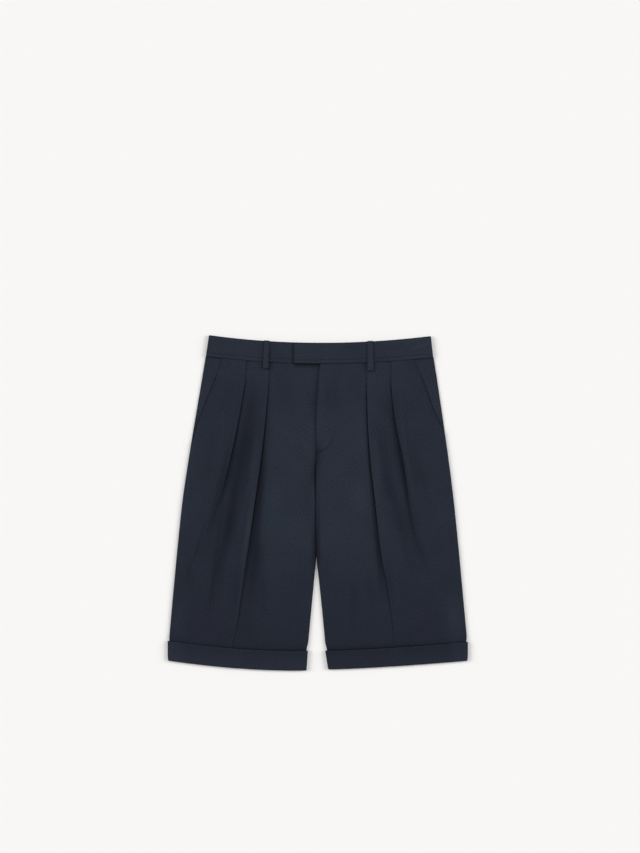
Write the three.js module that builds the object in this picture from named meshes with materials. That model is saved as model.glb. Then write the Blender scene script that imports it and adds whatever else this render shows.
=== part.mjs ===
// Tailored bermuda shorts in navy suiting, laid flat with the front up.
// Two forward pleats on each front, slant pockets, a waistband with a lapping tab, and turn-ups.
// Millimetres. X runs across the front, Y from hem to waist, Z up from the surface they lie on.
// "left" and "right" are as seen from above.

import * as THREE from 'three';

// Cloth walls and the room between layers
const CLOTH = 1.2;
const BAND_CLOTH = 2.0;
const LOOP_CLOTH = 1.4;
const SEAM_GAP = 0.3;
const EDGE_GAP = 0.6;
const LAYER = 1.55;
const CURL_RADIUS = 0.8;

// Heights of the middle of each wall above the surface; the front's is at its edges
const BACK_LEVEL = CLOTH / 2;
const FRONT_LEVEL = 3.8;
const FACING_LEVEL = FRONT_LEVEL - 1.6;
const LOWEST_FRONT = 2.2;
const BAND_BACK_LEVEL = BAND_CLOTH / 2;
const BAND_FRONT_LEVEL = 4.9;
const BAND_END_LEVEL = 4.3;
const TAB_CLEAR = 0.35;
const TAB_LEVEL = BAND_END_LEVEL + BAND_CLOTH + TAB_CLEAR;

// How far the front stands up between its edges, and the distances over which it rises
const BODY_PUFF = 3.8;
const EDGE_RISE = 38;
const EDGE_READ = 2;
const WAIST_RISE = 60;
const HEM_RISE = 50;

// Waist: the band's top edge and its seam, both lowest just right of the middle
const WAIST_MIDDLE_X = 6;
const WAIST_HALF = 203;
const BAND_TOP = { low: 290.2, rise: { left: 14.0, right: 12.6 } };
const BAND_SEAM = { low: 253.2, rise: { left: 12.6, right: 11.2 } };

// Hem: a shallow arc on each leg, with the turn-up and the lip that it folds over
const TURN_UP_DEEP = 35.5;
const TURN_UP_REACH = { left: 272.4, right: 273.9 };
const LIP = 8;
const HEM = {
  left: { lowAt: 45, low: -305.6, rise: 18.1, power: 1.8 },
  right: { lowAt: 19, low: -303.4, rise: 15.6, power: 1.39 },
};
const HEM_REACH = 271;
const LEG_MIDDLE = 120;
const TURN_UP_CLEAR = 0.15;
const TURN_UP_TAPER = { from: 0.75, inset: 0.8 };
const BACK_CLIMB = { start: 3, length: 16 };
const TURN_UP_INNER = {
  left: { top: 17.0, bottom: 19.4 },
  right: { top: 14.0, bottom: 19.4 },
};

// Fly and centre seam
const FLY_BOTTOM = 92;
const FLY_UNDERLAP = 8;
const UNDERLAP_ENDS = 68;
const LAP_FADES = 40;
const CROTCH = -14;
const FLY_FLAT = 6;
const CENTRE_REACH = 34;
const UNDER_FLY_DIP = -0.9;
const OVER_FLY_LIFT = 1.1;
const FLY_FULL = 130;
const CENTRE_BACK_Y = 60;

// How much of a full turn a free edge makes, and where the edges below it start to turn down
const FREE_TURN = { inner: 0.16, outer: 0.12 };
const INSEAM_TURN = { above: 6, length: 30 };

// Waistband tab, from its free end to where the band comes down beside the fly
const TAB_END = -43;
const TAB_FLAT_END = 13;
const TAB_SLOPE_END = 34;
const BAND_UNDERLAP_END = 10;
const BAND_DIP_END = -47;
const BAND_DIP_START = -64;
const BAND_SIDE = { top: 303, bottom: 268.5 };
const BAND_SPREAD = 0.4;

// Belt loops on the front of the band
const LOOP = {
  left: { middle: 92, wide: 10, slant: 0.6, belowSeam: 12 },
  right: { middle: 96, wide: 11, slant: 1.8, belowSeam: 15 },
};
const LOOP_STEP = 3;
const LOOP_BOW = 0.3;
const LOOP_CLEAR = 0.2;
const LOOP_TAIL = 1.4;

// Rows of each panel, from the waistband's seam at 0 to the turn-up's lip at 1,
// even down to the turn-up and then close together where the back climbs over its wall
const HEM_ROWS = [0.909, 0.919, 0.929, 0.938, 0.948, 0.972, 1];
const FRONT_ROWS = [...evenly(0, 0.885, 19), ...HEM_ROWS];
const BACK_ROWS = [...evenly(0, 0.885, 8), ...HEM_ROWS];
const ARC_STEPS = 3;
const CURL_STEPS = 3;
const CAP_STEPS = 4;
const FOLD_STEPS = 4;
const BAND_CAP_STEPS = 6;
const FRONT_COLUMNS = { fly: 2, body: 5, betweenPleats: 5, side: 5 };
const BACK_COLUMNS = 5;
const FACING_ROWS = 8;
const FACING_COLUMNS = 3;
const TURN_UP_ROWS = [0, 0.4, 0.8];
const TURN_UP_COLUMNS = { front: 4, back: 8 };
const BAND_ROWS = [0, 0.5, 1];
const BAND_COLUMNS = { tab: 4, slope: 5, front: 2, back: 3 };
const LOOP_COLUMNS = [-0.5, 0, 0.5];

// Side seams, as distances out from the Y axis
const SIDE = [
  { y: 303.0, left: 197.2, right: 206.5 },
  { y: 268.5, left: 202.4, right: 210.5 },
  { y: 223.0, left: 209.7, right: 217.4 },
  { y: 150.2, left: 222.1, right: 228.2 },
  { y: 77.4, left: 234.1, right: 238.5 },
  { y: 4.6, left: 244.8, right: 247.6 },
  { y: -68.3, left: 252.7, right: 255.1 },
  { y: -141.1, left: 259.7, right: 262.0 },
  { y: -213.9, left: 266.3, right: 268.7 },
  { y: -246.0, left: 269.0, right: 271.4 },
  { y: -254.0, left: 268.4, right: 270.1 },
  { y: -300.0, left: 268.1, right: 269.8 },
];

// X of the fly's edge, and below it of the centre seam and the line where the legs touch
const CENTRE = [
  { y: 253.0, x: 4.5 },
  { y: 232.0, x: 1.9 },
  { y: 196.0, x: -0.5 },
  { y: 150.0, x: -2.4 },
  { y: 89.0, x: -2.8 },
  { y: 41.0, x: -3.3 },
  { y: -32.0, x: -3.0 },
  { y: -101.0, x: -2.0 },
];

// Inner edge of each leg below the crotch, as X
const INSEAM = [
  { y: -14.0, left: -3.4, right: -2.8 },
  { y: -60.0, left: -3.0, right: -2.2 },
  { y: -101.0, left: -2.6, right: -1.2 },
  { y: -141.0, left: -6.3, right: 3.3 },
  { y: -213.9, left: -13.2, right: 10.8 },
  { y: -248.0, left: -16.4, right: 14.0 },
  { y: -256.0, left: -17.3, right: 14.9 },
  { y: -264.0, left: -19.6, right: 17.2 },
  { y: -300.0, left: -22.4, right: 22.4 },
];

// Slant pocket mouths: the free edge of the front, as distances out from the Y axis
const SLANT = [
  { y: 262.0, left: 172.4, right: 173.4 },
  { y: 235.0, left: 180.9, right: 185.2 },
  { y: 205.0, left: 194.0, right: 197.2 },
  { y: 175.0, left: 206.8, right: 208.4 },
  { y: 145.0, left: 218.2, right: 221.2 },
  { y: 126.0, left: 223.6, right: 229.3 },
];
const SLANT_BOTTOM = { left: 126, right: 140 };
const SLANT_BLEND = 18;
const FACING_TUCK = 10;
const FACING_OVERRUN = 4;
const FACING_OUT = 215;

// Pleats. at: the fold edge, out from the Y axis. lap: depth of the fold behind it.
// turn: how far the cloth turns at each bend, 180 for a flat pressed fold, less where it opens.
// round: the bends' radius. sink: how deep the fold lies in the hollow round it.
const INNER_PLEAT = {
  left: [
    { y: 255, at: 88.0, lap: 17.0, turn: 180, round: 0.78, sink: 0 },
    { y: 213, at: 89.3, lap: 16.0, turn: 180, round: 0.78, sink: 0.8 },
    { y: 150, at: 94.4, lap: 13.0, turn: 180, round: 0.8, sink: 2.0 },
    { y: 78, at: 102.6, lap: 9.0, turn: 180, round: 0.95, sink: 3.0 },
    { y: 5, at: 113.5, lap: 5.0, turn: 176, round: 1.2, sink: 3.2 },
    { y: -68, at: 123.4, lap: 2.4, turn: 140, round: 1.4, sink: 3.0 },
    { y: -141, at: 135.4, lap: 2.0, turn: 85, round: 1.4, sink: 2.2 },
    { y: -214, at: 146.2, lap: 1.6, turn: 60, round: 1.1, sink: 1.0 },
    { y: -268, at: 155.3, lap: 0.9, turn: 38, round: 0.9, sink: 0 },
    { y: -300, at: 158.0, lap: 0.8, turn: 30, round: 0.8, sink: 0 },
  ],
  right: [
    { y: 255, at: 89.5, lap: 17.0, turn: 180, round: 0.78, sink: 0 },
    { y: 213, at: 88.9, lap: 16.0, turn: 180, round: 0.78, sink: 0.8 },
    { y: 150, at: 90.2, lap: 13.0, turn: 180, round: 0.8, sink: 2.0 },
    { y: 78, at: 95.0, lap: 9.0, turn: 180, round: 0.95, sink: 3.0 },
    { y: 5, at: 102.2, lap: 5.0, turn: 174, round: 1.2, sink: 3.2 },
    { y: -68, at: 113.2, lap: 2.4, turn: 130, round: 1.4, sink: 3.0 },
    { y: -141, at: 126.6, lap: 2.0, turn: 75, round: 1.4, sink: 2.2 },
    { y: -214, at: 135.6, lap: 1.2, turn: 36, round: 1.1, sink: 1.0 },
    { y: -268, at: 139.5, lap: 0.7, turn: 18, round: 0.9, sink: 0 },
    { y: -300, at: 141.0, lap: 0.7, turn: 15, round: 0.8, sink: 0 },
  ],
};
const OUTER_PLEAT = {
  left: [
    { y: 255, at: 128.4, lap: 14.0, turn: 180, round: 0.78, sink: 0 },
    { y: 213, at: 131.7, lap: 13.0, turn: 180, round: 0.78, sink: 0.8 },
    { y: 150, at: 143.1, lap: 9.0, turn: 180, round: 0.8, sink: 1.8 },
    { y: 78, at: 159.0, lap: 5.0, turn: 150, round: 0.95, sink: 2.4 },
    { y: 5, at: 179.0, lap: 2.4, turn: 60, round: 1.8, sink: 2.2 },
    { y: -50, at: 200.0, lap: 1.6, turn: 30, round: 1.8, sink: 1.6 },
    { y: -105, at: 219.0, lap: 1.0, turn: 20, round: 1.4, sink: 0.9 },
    { y: -150, at: 228.0, lap: 0.7, turn: 12, round: 1.3, sink: 0.4 },
    { y: -300, at: 236.0, lap: 0.7, turn: 10, round: 0.8, sink: 0 },
  ],
  right: [
    { y: 255, at: 132.8, lap: 14.0, turn: 180, round: 0.78, sink: 0 },
    { y: 213, at: 133.1, lap: 13.0, turn: 180, round: 0.78, sink: 0.8 },
    { y: 150, at: 140.0, lap: 9.0, turn: 176, round: 0.8, sink: 1.8 },
    { y: 78, at: 154.0, lap: 5.0, turn: 140, round: 0.95, sink: 2.4 },
    { y: 5, at: 165.0, lap: 2.6, turn: 85, round: 1.2, sink: 2.2 },
    { y: -68, at: 178.0, lap: 1.8, turn: 36, round: 1.4, sink: 1.4 },
    { y: -105, at: 192.0, lap: 1.2, turn: 22, round: 1.4, sink: 0.9 },
    { y: -150, at: 206.0, lap: 0.7, turn: 12, round: 1.3, sink: 0.4 },
    { y: -300, at: 222.0, lap: 0.7, turn: 10, round: 0.8, sink: 0 },
  ],
};
const SHARE_BELOW = 0.55;
const RAMP_IN = 24;
const RAMP_OUT = 28;
const RAMP_ROOM = 0.8;
const PLEAT_MARGIN = 1.2;

// Soft troughs and ridges pressed into the fronts: where each runs, how wide and how high
const SOFT_FOLDS = {
  left: [
    { top: 226, topAt: 118, middleAt: 136, bottom: 20, bottomAt: 150, wide: 13, high: -1.9 },
    { top: 40, topAt: 146, middleAt: 178, bottom: -225, bottomAt: 204, wide: 17, high: -2.7 },
    { top: -70, topAt: 110, middleAt: 96, bottom: -240, bottomAt: 118, wide: 24, high: -2.2 },
    { top: 60, topAt: 205, middleAt: 216, bottom: -150, bottomAt: 206, wide: 20, high: 1.5 },
    { top: 190, topAt: 52, middleAt: 58, bottom: -30, bottomAt: 72, wide: 26, high: 1.2 },
  ],
  right: [
    { top: 200, topAt: 104, middleAt: 117, bottom: -90, bottomAt: 164, wide: 14, high: -2.4 },
    { top: 165, topAt: 156, middleAt: 166, bottom: 55, bottomAt: 178, wide: 12, high: -1.5 },
    { top: -20, topAt: 92, middleAt: 104, bottom: -215, bottomAt: 112, wide: 22, high: -2.0 },
    { top: 90, topAt: 206, middleAt: 214, bottom: -140, bottomAt: 200, wide: 20, high: 1.4 },
    { top: 180, topAt: 50, middleAt: 58, bottom: -40, bottomAt: 66, wide: 24, high: 1.2 },
  ],
};

const LEGS = {
  left: { side: 'left', sign: -1 },
  right: { side: 'right', sign: 1 },
};

// Evenly spaced values, ends included
function evenly(a, b, count) {
  return Array.from({ length: count }, (_, k) => a + (b - a) * (k / (count - 1)));
}

const smooth = (v) => {
  const s = Math.min(Math.max(v, 0), 1);
  return s * s * (3 - 2 * s);
};

// Reads one column of a table at a height, on a smooth curve through its rows
function read(table, column, y) {
  const last = table.length - 1;
  if (y >= table[0].y) return table[0][column];
  if (y <= table[last].y) return table[last][column];
  const k = table.findIndex((row) => row.y < y) - 1;
  const slope = (i) => {
    const a = table[Math.max(i - 1, 0)];
    const b = table[Math.min(i + 1, last)];
    return (b[column] - a[column]) / (b.y - a.y);
  };
  const [a, b] = [table[k], table[k + 1]];
  const span = b.y - a.y;
  const s = (y - a.y) / span;
  const [s2, s3] = [s * s, s * s * s];
  return (2 * s3 - 3 * s2 + 1) * a[column] + (s3 - 2 * s2 + s) * span * slope(k)
    + (3 * s2 - 2 * s3) * b[column] + (s3 - s2) * span * slope(k + 1);
}

// Lines of the pattern, as Y for a given X
function waistLine(line, x) {
  const rise = x < WAIST_MIDDLE_X ? line.rise.left : line.rise.right;
  return line.low + rise * ((x - WAIST_MIDDLE_X) / WAIST_HALF) ** 2;
}

function hemLine(leg, x) {
  const arc = HEM[leg.side];
  const out = Math.abs(leg.sign * x - arc.lowAt) / (HEM_REACH - arc.lowAt);
  return arc.low + arc.rise * out ** arc.power;
}

// Y of a panel row: 0 at the waistband's seam, 1 where the panel meets the turn-up's lip
function rowY(leg, out, row) {
  const x = leg.sign * out;
  const top = waistLine(BAND_SEAM, x) - SEAM_GAP;
  const bottom = hemLine(leg, x) + LIP + SEAM_GAP;
  return top + (bottom - top) * row;
}

// Where a guide line, given as distance out for a height, crosses a row
function crossing(leg, row, guide) {
  let out = guide(rowY(leg, LEG_MIDDLE, row));
  for (let pass = 0; pass < 3; pass += 1) out = guide(rowY(leg, out, row));
  return { out, y: rowY(leg, out, row) };
}

// Height of the top of the back panel, which climbs over the turn-up's back wall
function backLift(leg, x, y) {
  const top = hemLine(leg, x) + TURN_UP_DEEP;
  return LAYER * (1 - smooth((y - top - BACK_CLIMB.start) / BACK_CLIMB.length));
}

// Inner edge of a front or back panel, out from the Y axis
function innerEdge(leg, y, laps) {
  const seam = read(CENTRE, 'x', y);
  const half = SEAM_GAP / 2;
  if (leg.side === 'right') {
    return y > CROTCH ? seam + half : read(INSEAM, 'right', y);
  }
  if (y < CROTCH) return -read(INSEAM, 'left', y);
  const under = laps ? smooth((y - UNDERLAP_ENDS) / (FLY_BOTTOM - UNDERLAP_ENDS)) : 0;
  return -(seam - half + under * (FLY_UNDERLAP + half));
}

// Outer edge of the front: the slant mouth above, the side seam below
function frontOuterEdge(leg, y) {
  const side = read(SIDE, leg.side, y);
  const free = smooth((y - SLANT_BOTTOM[leg.side] + SLANT_BLEND) / SLANT_BLEND);
  const slant = Math.min(read(SLANT, leg.side, y), side);
  return side + (slant - side) * free;
}

function softFold(fold, out, y) {
  const s = (fold.top - y) / (fold.top - fold.bottom);
  if (s <= 0 || s >= 1) return 0;
  const line = (1 - s) ** 2 * fold.topAt + s * s * fold.bottomAt
    + 2 * s * (1 - s) * (2 * fold.middleAt - (fold.topAt + fold.bottomAt) / 2);
  const across = (out - line) / fold.wide;
  return fold.high * Math.sin(Math.PI * s) * Math.exp(-across * across);
}

// Height of the middle of the front's single layer
function frontLevel(leg, out, y) {
  const x = leg.sign * out;
  const inner = innerEdge(leg, y, false);
  const outer = frontOuterEdge(leg, y);
  const flyShare = smooth((y - CROTCH) / (FLY_FULL - CROTCH));
  const fromCentre = Math.max(smooth((out - inner) / EDGE_RISE), flyShare);
  const fromSide = smooth((outer - out) / EDGE_RISE);
  const fromWaist = smooth((waistLine(BAND_SEAM, x) - y) / WAIST_RISE);
  const fromHem = smooth((y - hemLine(leg, x) - TURN_UP_DEEP) / HEM_RISE);
  const folds = SOFT_FOLDS[leg.side].reduce((sum, fold) => sum + softFold(fold, out, y), 0);
  const rise = Math.min(fromCentre, fromSide) * Math.min(fromWaist, fromHem) * (BODY_PUFF + folds);
  const nearFly = 1 - smooth((out - inner - FLY_FLAT) / (CENTRE_REACH - FLY_FLAT));
  const lapLeft = smooth((y - CROTCH) / (LAP_FADES - CROTCH));
  const lift = (leg.side === 'left' ? UNDER_FLY_DIP : OVER_FLY_LIFT) * nearFly * lapLeft;
  return Math.max(FRONT_LEVEL + rise, LOWEST_FRONT) + lift;
}

// One pleat: the lower layer turns up, runs back and turns over into the upper layer
function pleatBends(leg, y, table) {
  const radius = read(table, 'round', y);
  const turn = THREE.MathUtils.degToRad(read(table, 'turn', y));
  const lap = read(table, 'lap', y);
  const edge = read(table, 'at', y);
  const run = 2 * radius * Math.sin(turn) + lap * Math.cos(turn);
  const rise = 2 * radius * (1 - Math.cos(turn)) + lap * Math.sin(turn);
  const overhang = turn > Math.PI / 2 ? run - radius : run / 2;
  const sunk = frontLevel(leg, edge, y) - SHARE_BELOW * rise - read(table, 'sink', y);
  const floor = LOWEST_FRONT + backLift(leg, leg.sign * edge, y);
  const here = new THREE.Vector2(edge - overhang, Math.max(sunk, floor));
  const start = here.clone();
  const points = [start];
  const bend = (from, to, way) => {
    const centre = here.clone().add(new THREE.Vector2(-Math.sin(from), Math.cos(from))
      .multiplyScalar(way * radius));
    for (let k = 1; k <= ARC_STEPS; k += 1) {
      const a = from + (to - from) * (k / ARC_STEPS);
      here.set(centre.x + way * radius * Math.sin(a), centre.y - way * radius * Math.cos(a));
      points.push(here.clone());
    }
  };
  bend(0, turn, 1);
  here.add(new THREE.Vector2(Math.cos(turn), Math.sin(turn)).multiplyScalar(lap));
  points.push(here.clone());
  bend(turn, 0, -1);
  const flatTo = Math.max(start.x + radius * Math.sin(turn), here.x) + PLEAT_MARGIN;
  const flatFrom = Math.min(edge, start.x) - PLEAT_MARGIN;
  return { points, flatFrom, flatTo, low: start.y, high: here.y };
}

// Evenly spaced values between two ends, without the ends
const between = (a, b, count) => evenly(a, b, count + 2).slice(1, -1);

// A turned-down edge, from its flat point out to its end; share is how much of the turn it makes
function curl(edge, way, level, drop, share) {
  const radius = Math.max(drop, CURL_RADIUS);
  const angle = Math.acos(1 - drop / radius) * share;
  const flat = edge - way * radius * Math.sin(angle);
  return evenly(0, angle, CURL_STEPS + 1).map((a) => new THREE.Vector2(
    flat + way * radius * Math.sin(a),
    level - radius * (1 - Math.cos(a)),
  ));
}

// Section of a front panel across one row: centre edge, two pleats, outer edge
function frontSection(leg, row) {
  const inner = crossing(leg, row, (y) => innerEdge(leg, y, true));
  const outer = crossing(leg, row, (y) => frontOuterEdge(leg, y));
  const pleats = [INNER_PLEAT, OUTER_PLEAT].map((set) => {
    const table = set[leg.side];
    const { y } = crossing(leg, row, (h) => read(table, 'at', h));
    return pleatBends(leg, y, table);
  });
  const meets = (spot) => CLOTH + EDGE_GAP + backLift(leg, leg.sign * spot.out, spot.y);
  const belowCrotch = smooth((CROTCH + INSEAM_TURN.above - inner.y) / INSEAM_TURN.length);
  const belowSlant = smooth((SLANT_BOTTOM[leg.side] - outer.y) / SLANT_BLEND);
  const innerShare = FREE_TURN.inner + (1 - FREE_TURN.inner) * belowCrotch;
  const outerShare = FREE_TURN.outer + (1 - FREE_TURN.outer) * belowSlant;
  const innerLevel = frontLevel(leg, inner.out + EDGE_READ, inner.y);
  const outerLevel = frontLevel(leg, outer.out - EDGE_READ, outer.y);
  const innerCurl = curl(inner.out + (CLOTH / 2) * innerShare, -1, innerLevel,
    innerLevel - meets(inner), innerShare).reverse();
  const outerCurl = curl(outer.out - (CLOTH / 2) * outerShare, 1, outerLevel,
    outerLevel - meets(outer), outerShare);
  const [first, second] = pleats;
  const startA = innerCurl[CURL_STEPS].x;
  const startC = outerCurl[0].x;
  const room = (from, to, most) => Math.min(most, RAMP_ROOM * (to - from));
  const ramps = [
    { in: room(startA, first.flatFrom, RAMP_IN), out: room(first.flatTo, second.flatFrom, RAMP_OUT) },
    { in: room(first.flatTo, second.flatFrom, RAMP_IN), out: room(second.flatTo, startC, RAMP_OUT) },
  ];
  const height = (out) => {
    const y = rowY(leg, out, row);
    let z = frontLevel(leg, out, y);
    pleats.forEach((pleat, k) => {
      const level = frontLevel(leg, pleat.flatTo, y);
      if (out < pleat.points[0].x) {
        z += (pleat.low - z) * smooth((out - pleat.flatFrom) / ramps[k].in + 1);
      } else {
        z += (pleat.high - level) * (1 - smooth((out - pleat.flatTo) / ramps[k].out));
      }
    });
    return z;
  };
  const level = (out) => new THREE.Vector2(out, height(out));
  const rampA = first.flatFrom - ramps[0].in;
  const after = (pleat) => {
    const last = pleat.points[pleat.points.length - 1];
    return new THREE.Vector2(Math.max(pleat.flatTo, last.x + PLEAT_MARGIN / 2), pleat.high);
  };
  return [
    ...innerCurl,
    ...between(startA, rampA, FRONT_COLUMNS.fly).map(level),
    ...evenly(rampA, first.flatFrom, FRONT_COLUMNS.body).slice(0, -1).map(level),
    new THREE.Vector2(first.flatFrom, first.low),
    ...first.points,
    after(first),
    ...between(first.flatTo + PLEAT_MARGIN / 2, second.flatFrom, FRONT_COLUMNS.betweenPleats)
      .map(level),
    new THREE.Vector2(second.flatFrom, second.low),
    ...second.points,
    after(second),
    ...between(second.flatTo + PLEAT_MARGIN / 2, startC, FRONT_COLUMNS.side).map(level),
    ...outerCurl,
  ];
}

// A closed cloth wall round a grid of middle points; a ring joins its last column to its first
function wall(name, grid, thickness, material, ring = false) {
  const rows = grid.length;
  const columns = grid[0].length;
  const step = (a, b) => b.clone().sub(a).normalize();
  const normalAt = (i, j) => {
    const along = new THREE.Vector3();
    if (i > 0) along.add(step(grid[i - 1][j], grid[i][j]));
    if (i < rows - 1) along.add(step(grid[i][j], grid[i + 1][j]));
    const across = new THREE.Vector3();
    if (ring || j > 0) across.add(step(grid[i][(j - 1 + columns) % columns], grid[i][j]));
    if (ring || j < columns - 1) across.add(step(grid[i][j], grid[i][(j + 1) % columns]));
    return along.cross(across).normalize();
  };
  const positions = [];
  [0.5, -0.5].forEach((share) => {
    grid.forEach((line, i) => line.forEach((point, j) => {
      const moved = point.clone().addScaledVector(normalAt(i, j), share * thickness);
      positions.push(moved.x, moved.y, moved.z);
    }));
  });
  const at = (layer, i, j) => layer * rows * columns + i * columns + (j % columns);
  const faces = [];
  const quad = (a, b, c, d) => faces.push(a, b, c, a, c, d);
  const spans = ring ? columns : columns - 1;
  for (let i = 0; i < rows - 1; i += 1) {
    for (let j = 0; j < spans; j += 1) {
      quad(at(0, i, j), at(0, i + 1, j), at(0, i + 1, j + 1), at(0, i, j + 1));
      quad(at(1, i, j), at(1, i, j + 1), at(1, i + 1, j + 1), at(1, i + 1, j));
    }
    if (!ring) {
      quad(at(0, i, 0), at(1, i, 0), at(1, i + 1, 0), at(0, i + 1, 0));
      const e = columns - 1;
      quad(at(0, i, e), at(0, i + 1, e), at(1, i + 1, e), at(1, i, e));
    }
  }
  for (let j = 0; j < spans; j += 1) {
    const e = rows - 1;
    quad(at(0, 0, j), at(0, 0, j + 1), at(1, 0, j + 1), at(1, 0, j));
    quad(at(0, e, j), at(1, e, j), at(1, e, j + 1), at(0, e, j + 1));
  }
  if (signedVolume(positions, faces) < 0) faces.reverse();
  const geometry = new THREE.BufferGeometry();
  geometry.setAttribute('position', new THREE.Float32BufferAttribute(positions, 3));
  geometry.setIndex(faces);
  geometry.computeVertexNormals();
  const mesh = new THREE.Mesh(geometry, material);
  mesh.name = name;
  return mesh;
}

function signedVolume(positions, faces) {
  const corner = (k) => new THREE.Vector3().fromArray(positions, 3 * faces[k]);
  let volume = 0;
  for (let k = 0; k < faces.length; k += 3) {
    volume += corner(k).dot(corner(k + 1).cross(corner(k + 2))) / 6;
  }
  return volume;
}

function frontPanel(leg) {
  const grid = FRONT_ROWS.map((row) => frontSection(leg, row).map(
    (p) => new THREE.Vector3(leg.sign * p.x, rowY(leg, p.x, row), p.y),
  ));
  return wall(`front_panel_${leg.side}`, grid, CLOTH, CLOTH_MATERIAL);
}

// The back lies on the surface, and rises over the turn-up's back wall at the hem
function backPanel(leg) {
  const grid = BACK_ROWS.map((row) => {
    const inner = crossing(leg, row, (y) => innerEdge(leg, y, false)).out;
    const outer = crossing(leg, row, (y) => read(SIDE, leg.side, y)).out;
    return [inner, ...between(inner, outer, BACK_COLUMNS), outer].map((out) => {
      const y = rowY(leg, out, row);
      return new THREE.Vector3(leg.sign * out, y, BACK_LEVEL + backLift(leg, leg.sign * out, y));
    });
  });
  return wall(`back_panel_${leg.side}`, grid, CLOTH, CLOTH_MATERIAL);
}

// Self-cloth facing that shows between the slant mouth and the side seam
function pocketFacing(leg) {
  const [top, end] = [rowY(leg, FACING_OUT, 0), rowY(leg, FACING_OUT, 1)];
  const lastRow = (top - SLANT_BOTTOM[leg.side] - FACING_OVERRUN) / (top - end);
  const grid = evenly(0, lastRow, FACING_ROWS).map((row) => {
    const mouth = crossing(leg, row, (y) => frontOuterEdge(leg, y)).out;
    const side = crossing(leg, row, (y) => read(SIDE, leg.side, y)).out;
    const drop = FACING_LEVEL - CLOTH - EDGE_GAP;
    const turned = curl(side - CLOTH / 2, 1, FACING_LEVEL, drop, 1);
    const inner = mouth - FACING_TUCK;
    const section = [
      new THREE.Vector2(inner, FACING_LEVEL),
      ...between(inner, turned[0].x, FACING_COLUMNS)
        .map((out) => new THREE.Vector2(out, FACING_LEVEL)),
      ...turned,
    ];
    return section.map((p) => new THREE.Vector3(leg.sign * p.x, rowY(leg, p.x, row), p.y));
  });
  return wall(`pocket_facing_${leg.side}`, grid, CLOTH, CLOTH_MATERIAL);
}

// Turn-up: a flattened ring round the hem, folded under at the bottom into a short lip
function turnUp(leg) {
  const inner = TURN_UP_INNER[leg.side];
  const radius = LAYER / 2;
  const half = CLOTH / 2;
  const ridge = (out, y) => {
    const sections = [INNER_PLEAT, OUTER_PLEAT].map((set) => pleatBends(leg, y, set[leg.side]));
    return sections.reduce((z, pleat) => {
      const middle = pleat.points[ARC_STEPS + 1].x;
      const rise = pleat.high - FRONT_LEVEL;
      const side = out < middle ? (out - middle) / RAMP_IN : (middle - out) / RAMP_OUT;
      return z + rise * (1 - smooth(-side));
    }, FRONT_LEVEL + LAYER + TURN_UP_CLEAR);
  };
  const ringAt = (down) => {
    const from = inner.top + (inner.bottom - inner.top) * down + half;
    const taper = smooth((down - TURN_UP_TAPER.from) / (1 - TURN_UP_TAPER.from));
    const to = TURN_UP_REACH[leg.side] - half - TURN_UP_TAPER.inset * taper;
    const y = (out) => hemLine(leg, leg.sign * out) + TURN_UP_DEEP * (1 - down);
    const front = (out) => ridge(out, Math.max(y(out), hemLine(leg, leg.sign * out) + LIP));
    const cap = (edge, way) => {
      const top = front(edge - way * EDGE_READ);
      const round = (top - BACK_LEVEL) / 2;
      return evenly(0, Math.PI, CAP_STEPS + 1).map((a) => new THREE.Vector2(
        edge - way * round + way * round * Math.sin(a),
        BACK_LEVEL + round + round * Math.cos(a),
      ));
    };
    const outerCap = cap(to, 1);
    const innerCap = cap(from, -1).reverse();
    const crease = read(INNER_PLEAT[leg.side], 'at', HEM[leg.side].low + TURN_UP_DEEP);
    const tops = [
      ...between(innerCap[CAP_STEPS].x, crease, TURN_UP_COLUMNS.front),
      crease,
      ...between(crease, outerCap[0].x, TURN_UP_COLUMNS.front),
    ];
    return [
      ...tops.map((out) => new THREE.Vector2(out, front(out))),
      ...outerCap,
      ...between(outerCap[CAP_STEPS].x, innerCap[0].x, TURN_UP_COLUMNS.back)
        .map((out) => new THREE.Vector2(out, BACK_LEVEL)),
      ...innerCap,
    ];
  };
  const outward = (ring, j) => {
    const a = ring[(j - 1 + ring.length) % ring.length];
    const b = ring[(j + 1) % ring.length];
    return new THREE.Vector2(a.y - b.y, b.x - a.x).normalize();
  };
  const place = (ring, inset, y) => ring.map((p, j) => {
    const n = outward(ring, j);
    const out = p.x - n.x * inset;
    return new THREE.Vector3(leg.sign * out, y(out), p.y - n.y * inset);
  });
  const hem = (out) => hemLine(leg, leg.sign * out);
  const grid = TURN_UP_ROWS.map((down) => place(ringAt(down), 0,
    (out) => hem(out) + TURN_UP_DEEP * (1 - down)));
  const bottomRing = ringAt(1);
  evenly(0, Math.PI, FOLD_STEPS + 1).forEach((a) => {
    grid.push(place(bottomRing, radius * (1 - Math.cos(a)),
      (out) => hem(out) + half + radius * (1 - Math.sin(a))));
  });
  grid.push(place(bottomRing, LAYER, (out) => hem(out) + LIP));
  return wall(`turn_up_${leg.side}`, grid, CLOTH, TURN_UP_MATERIAL, true);
}

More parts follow.
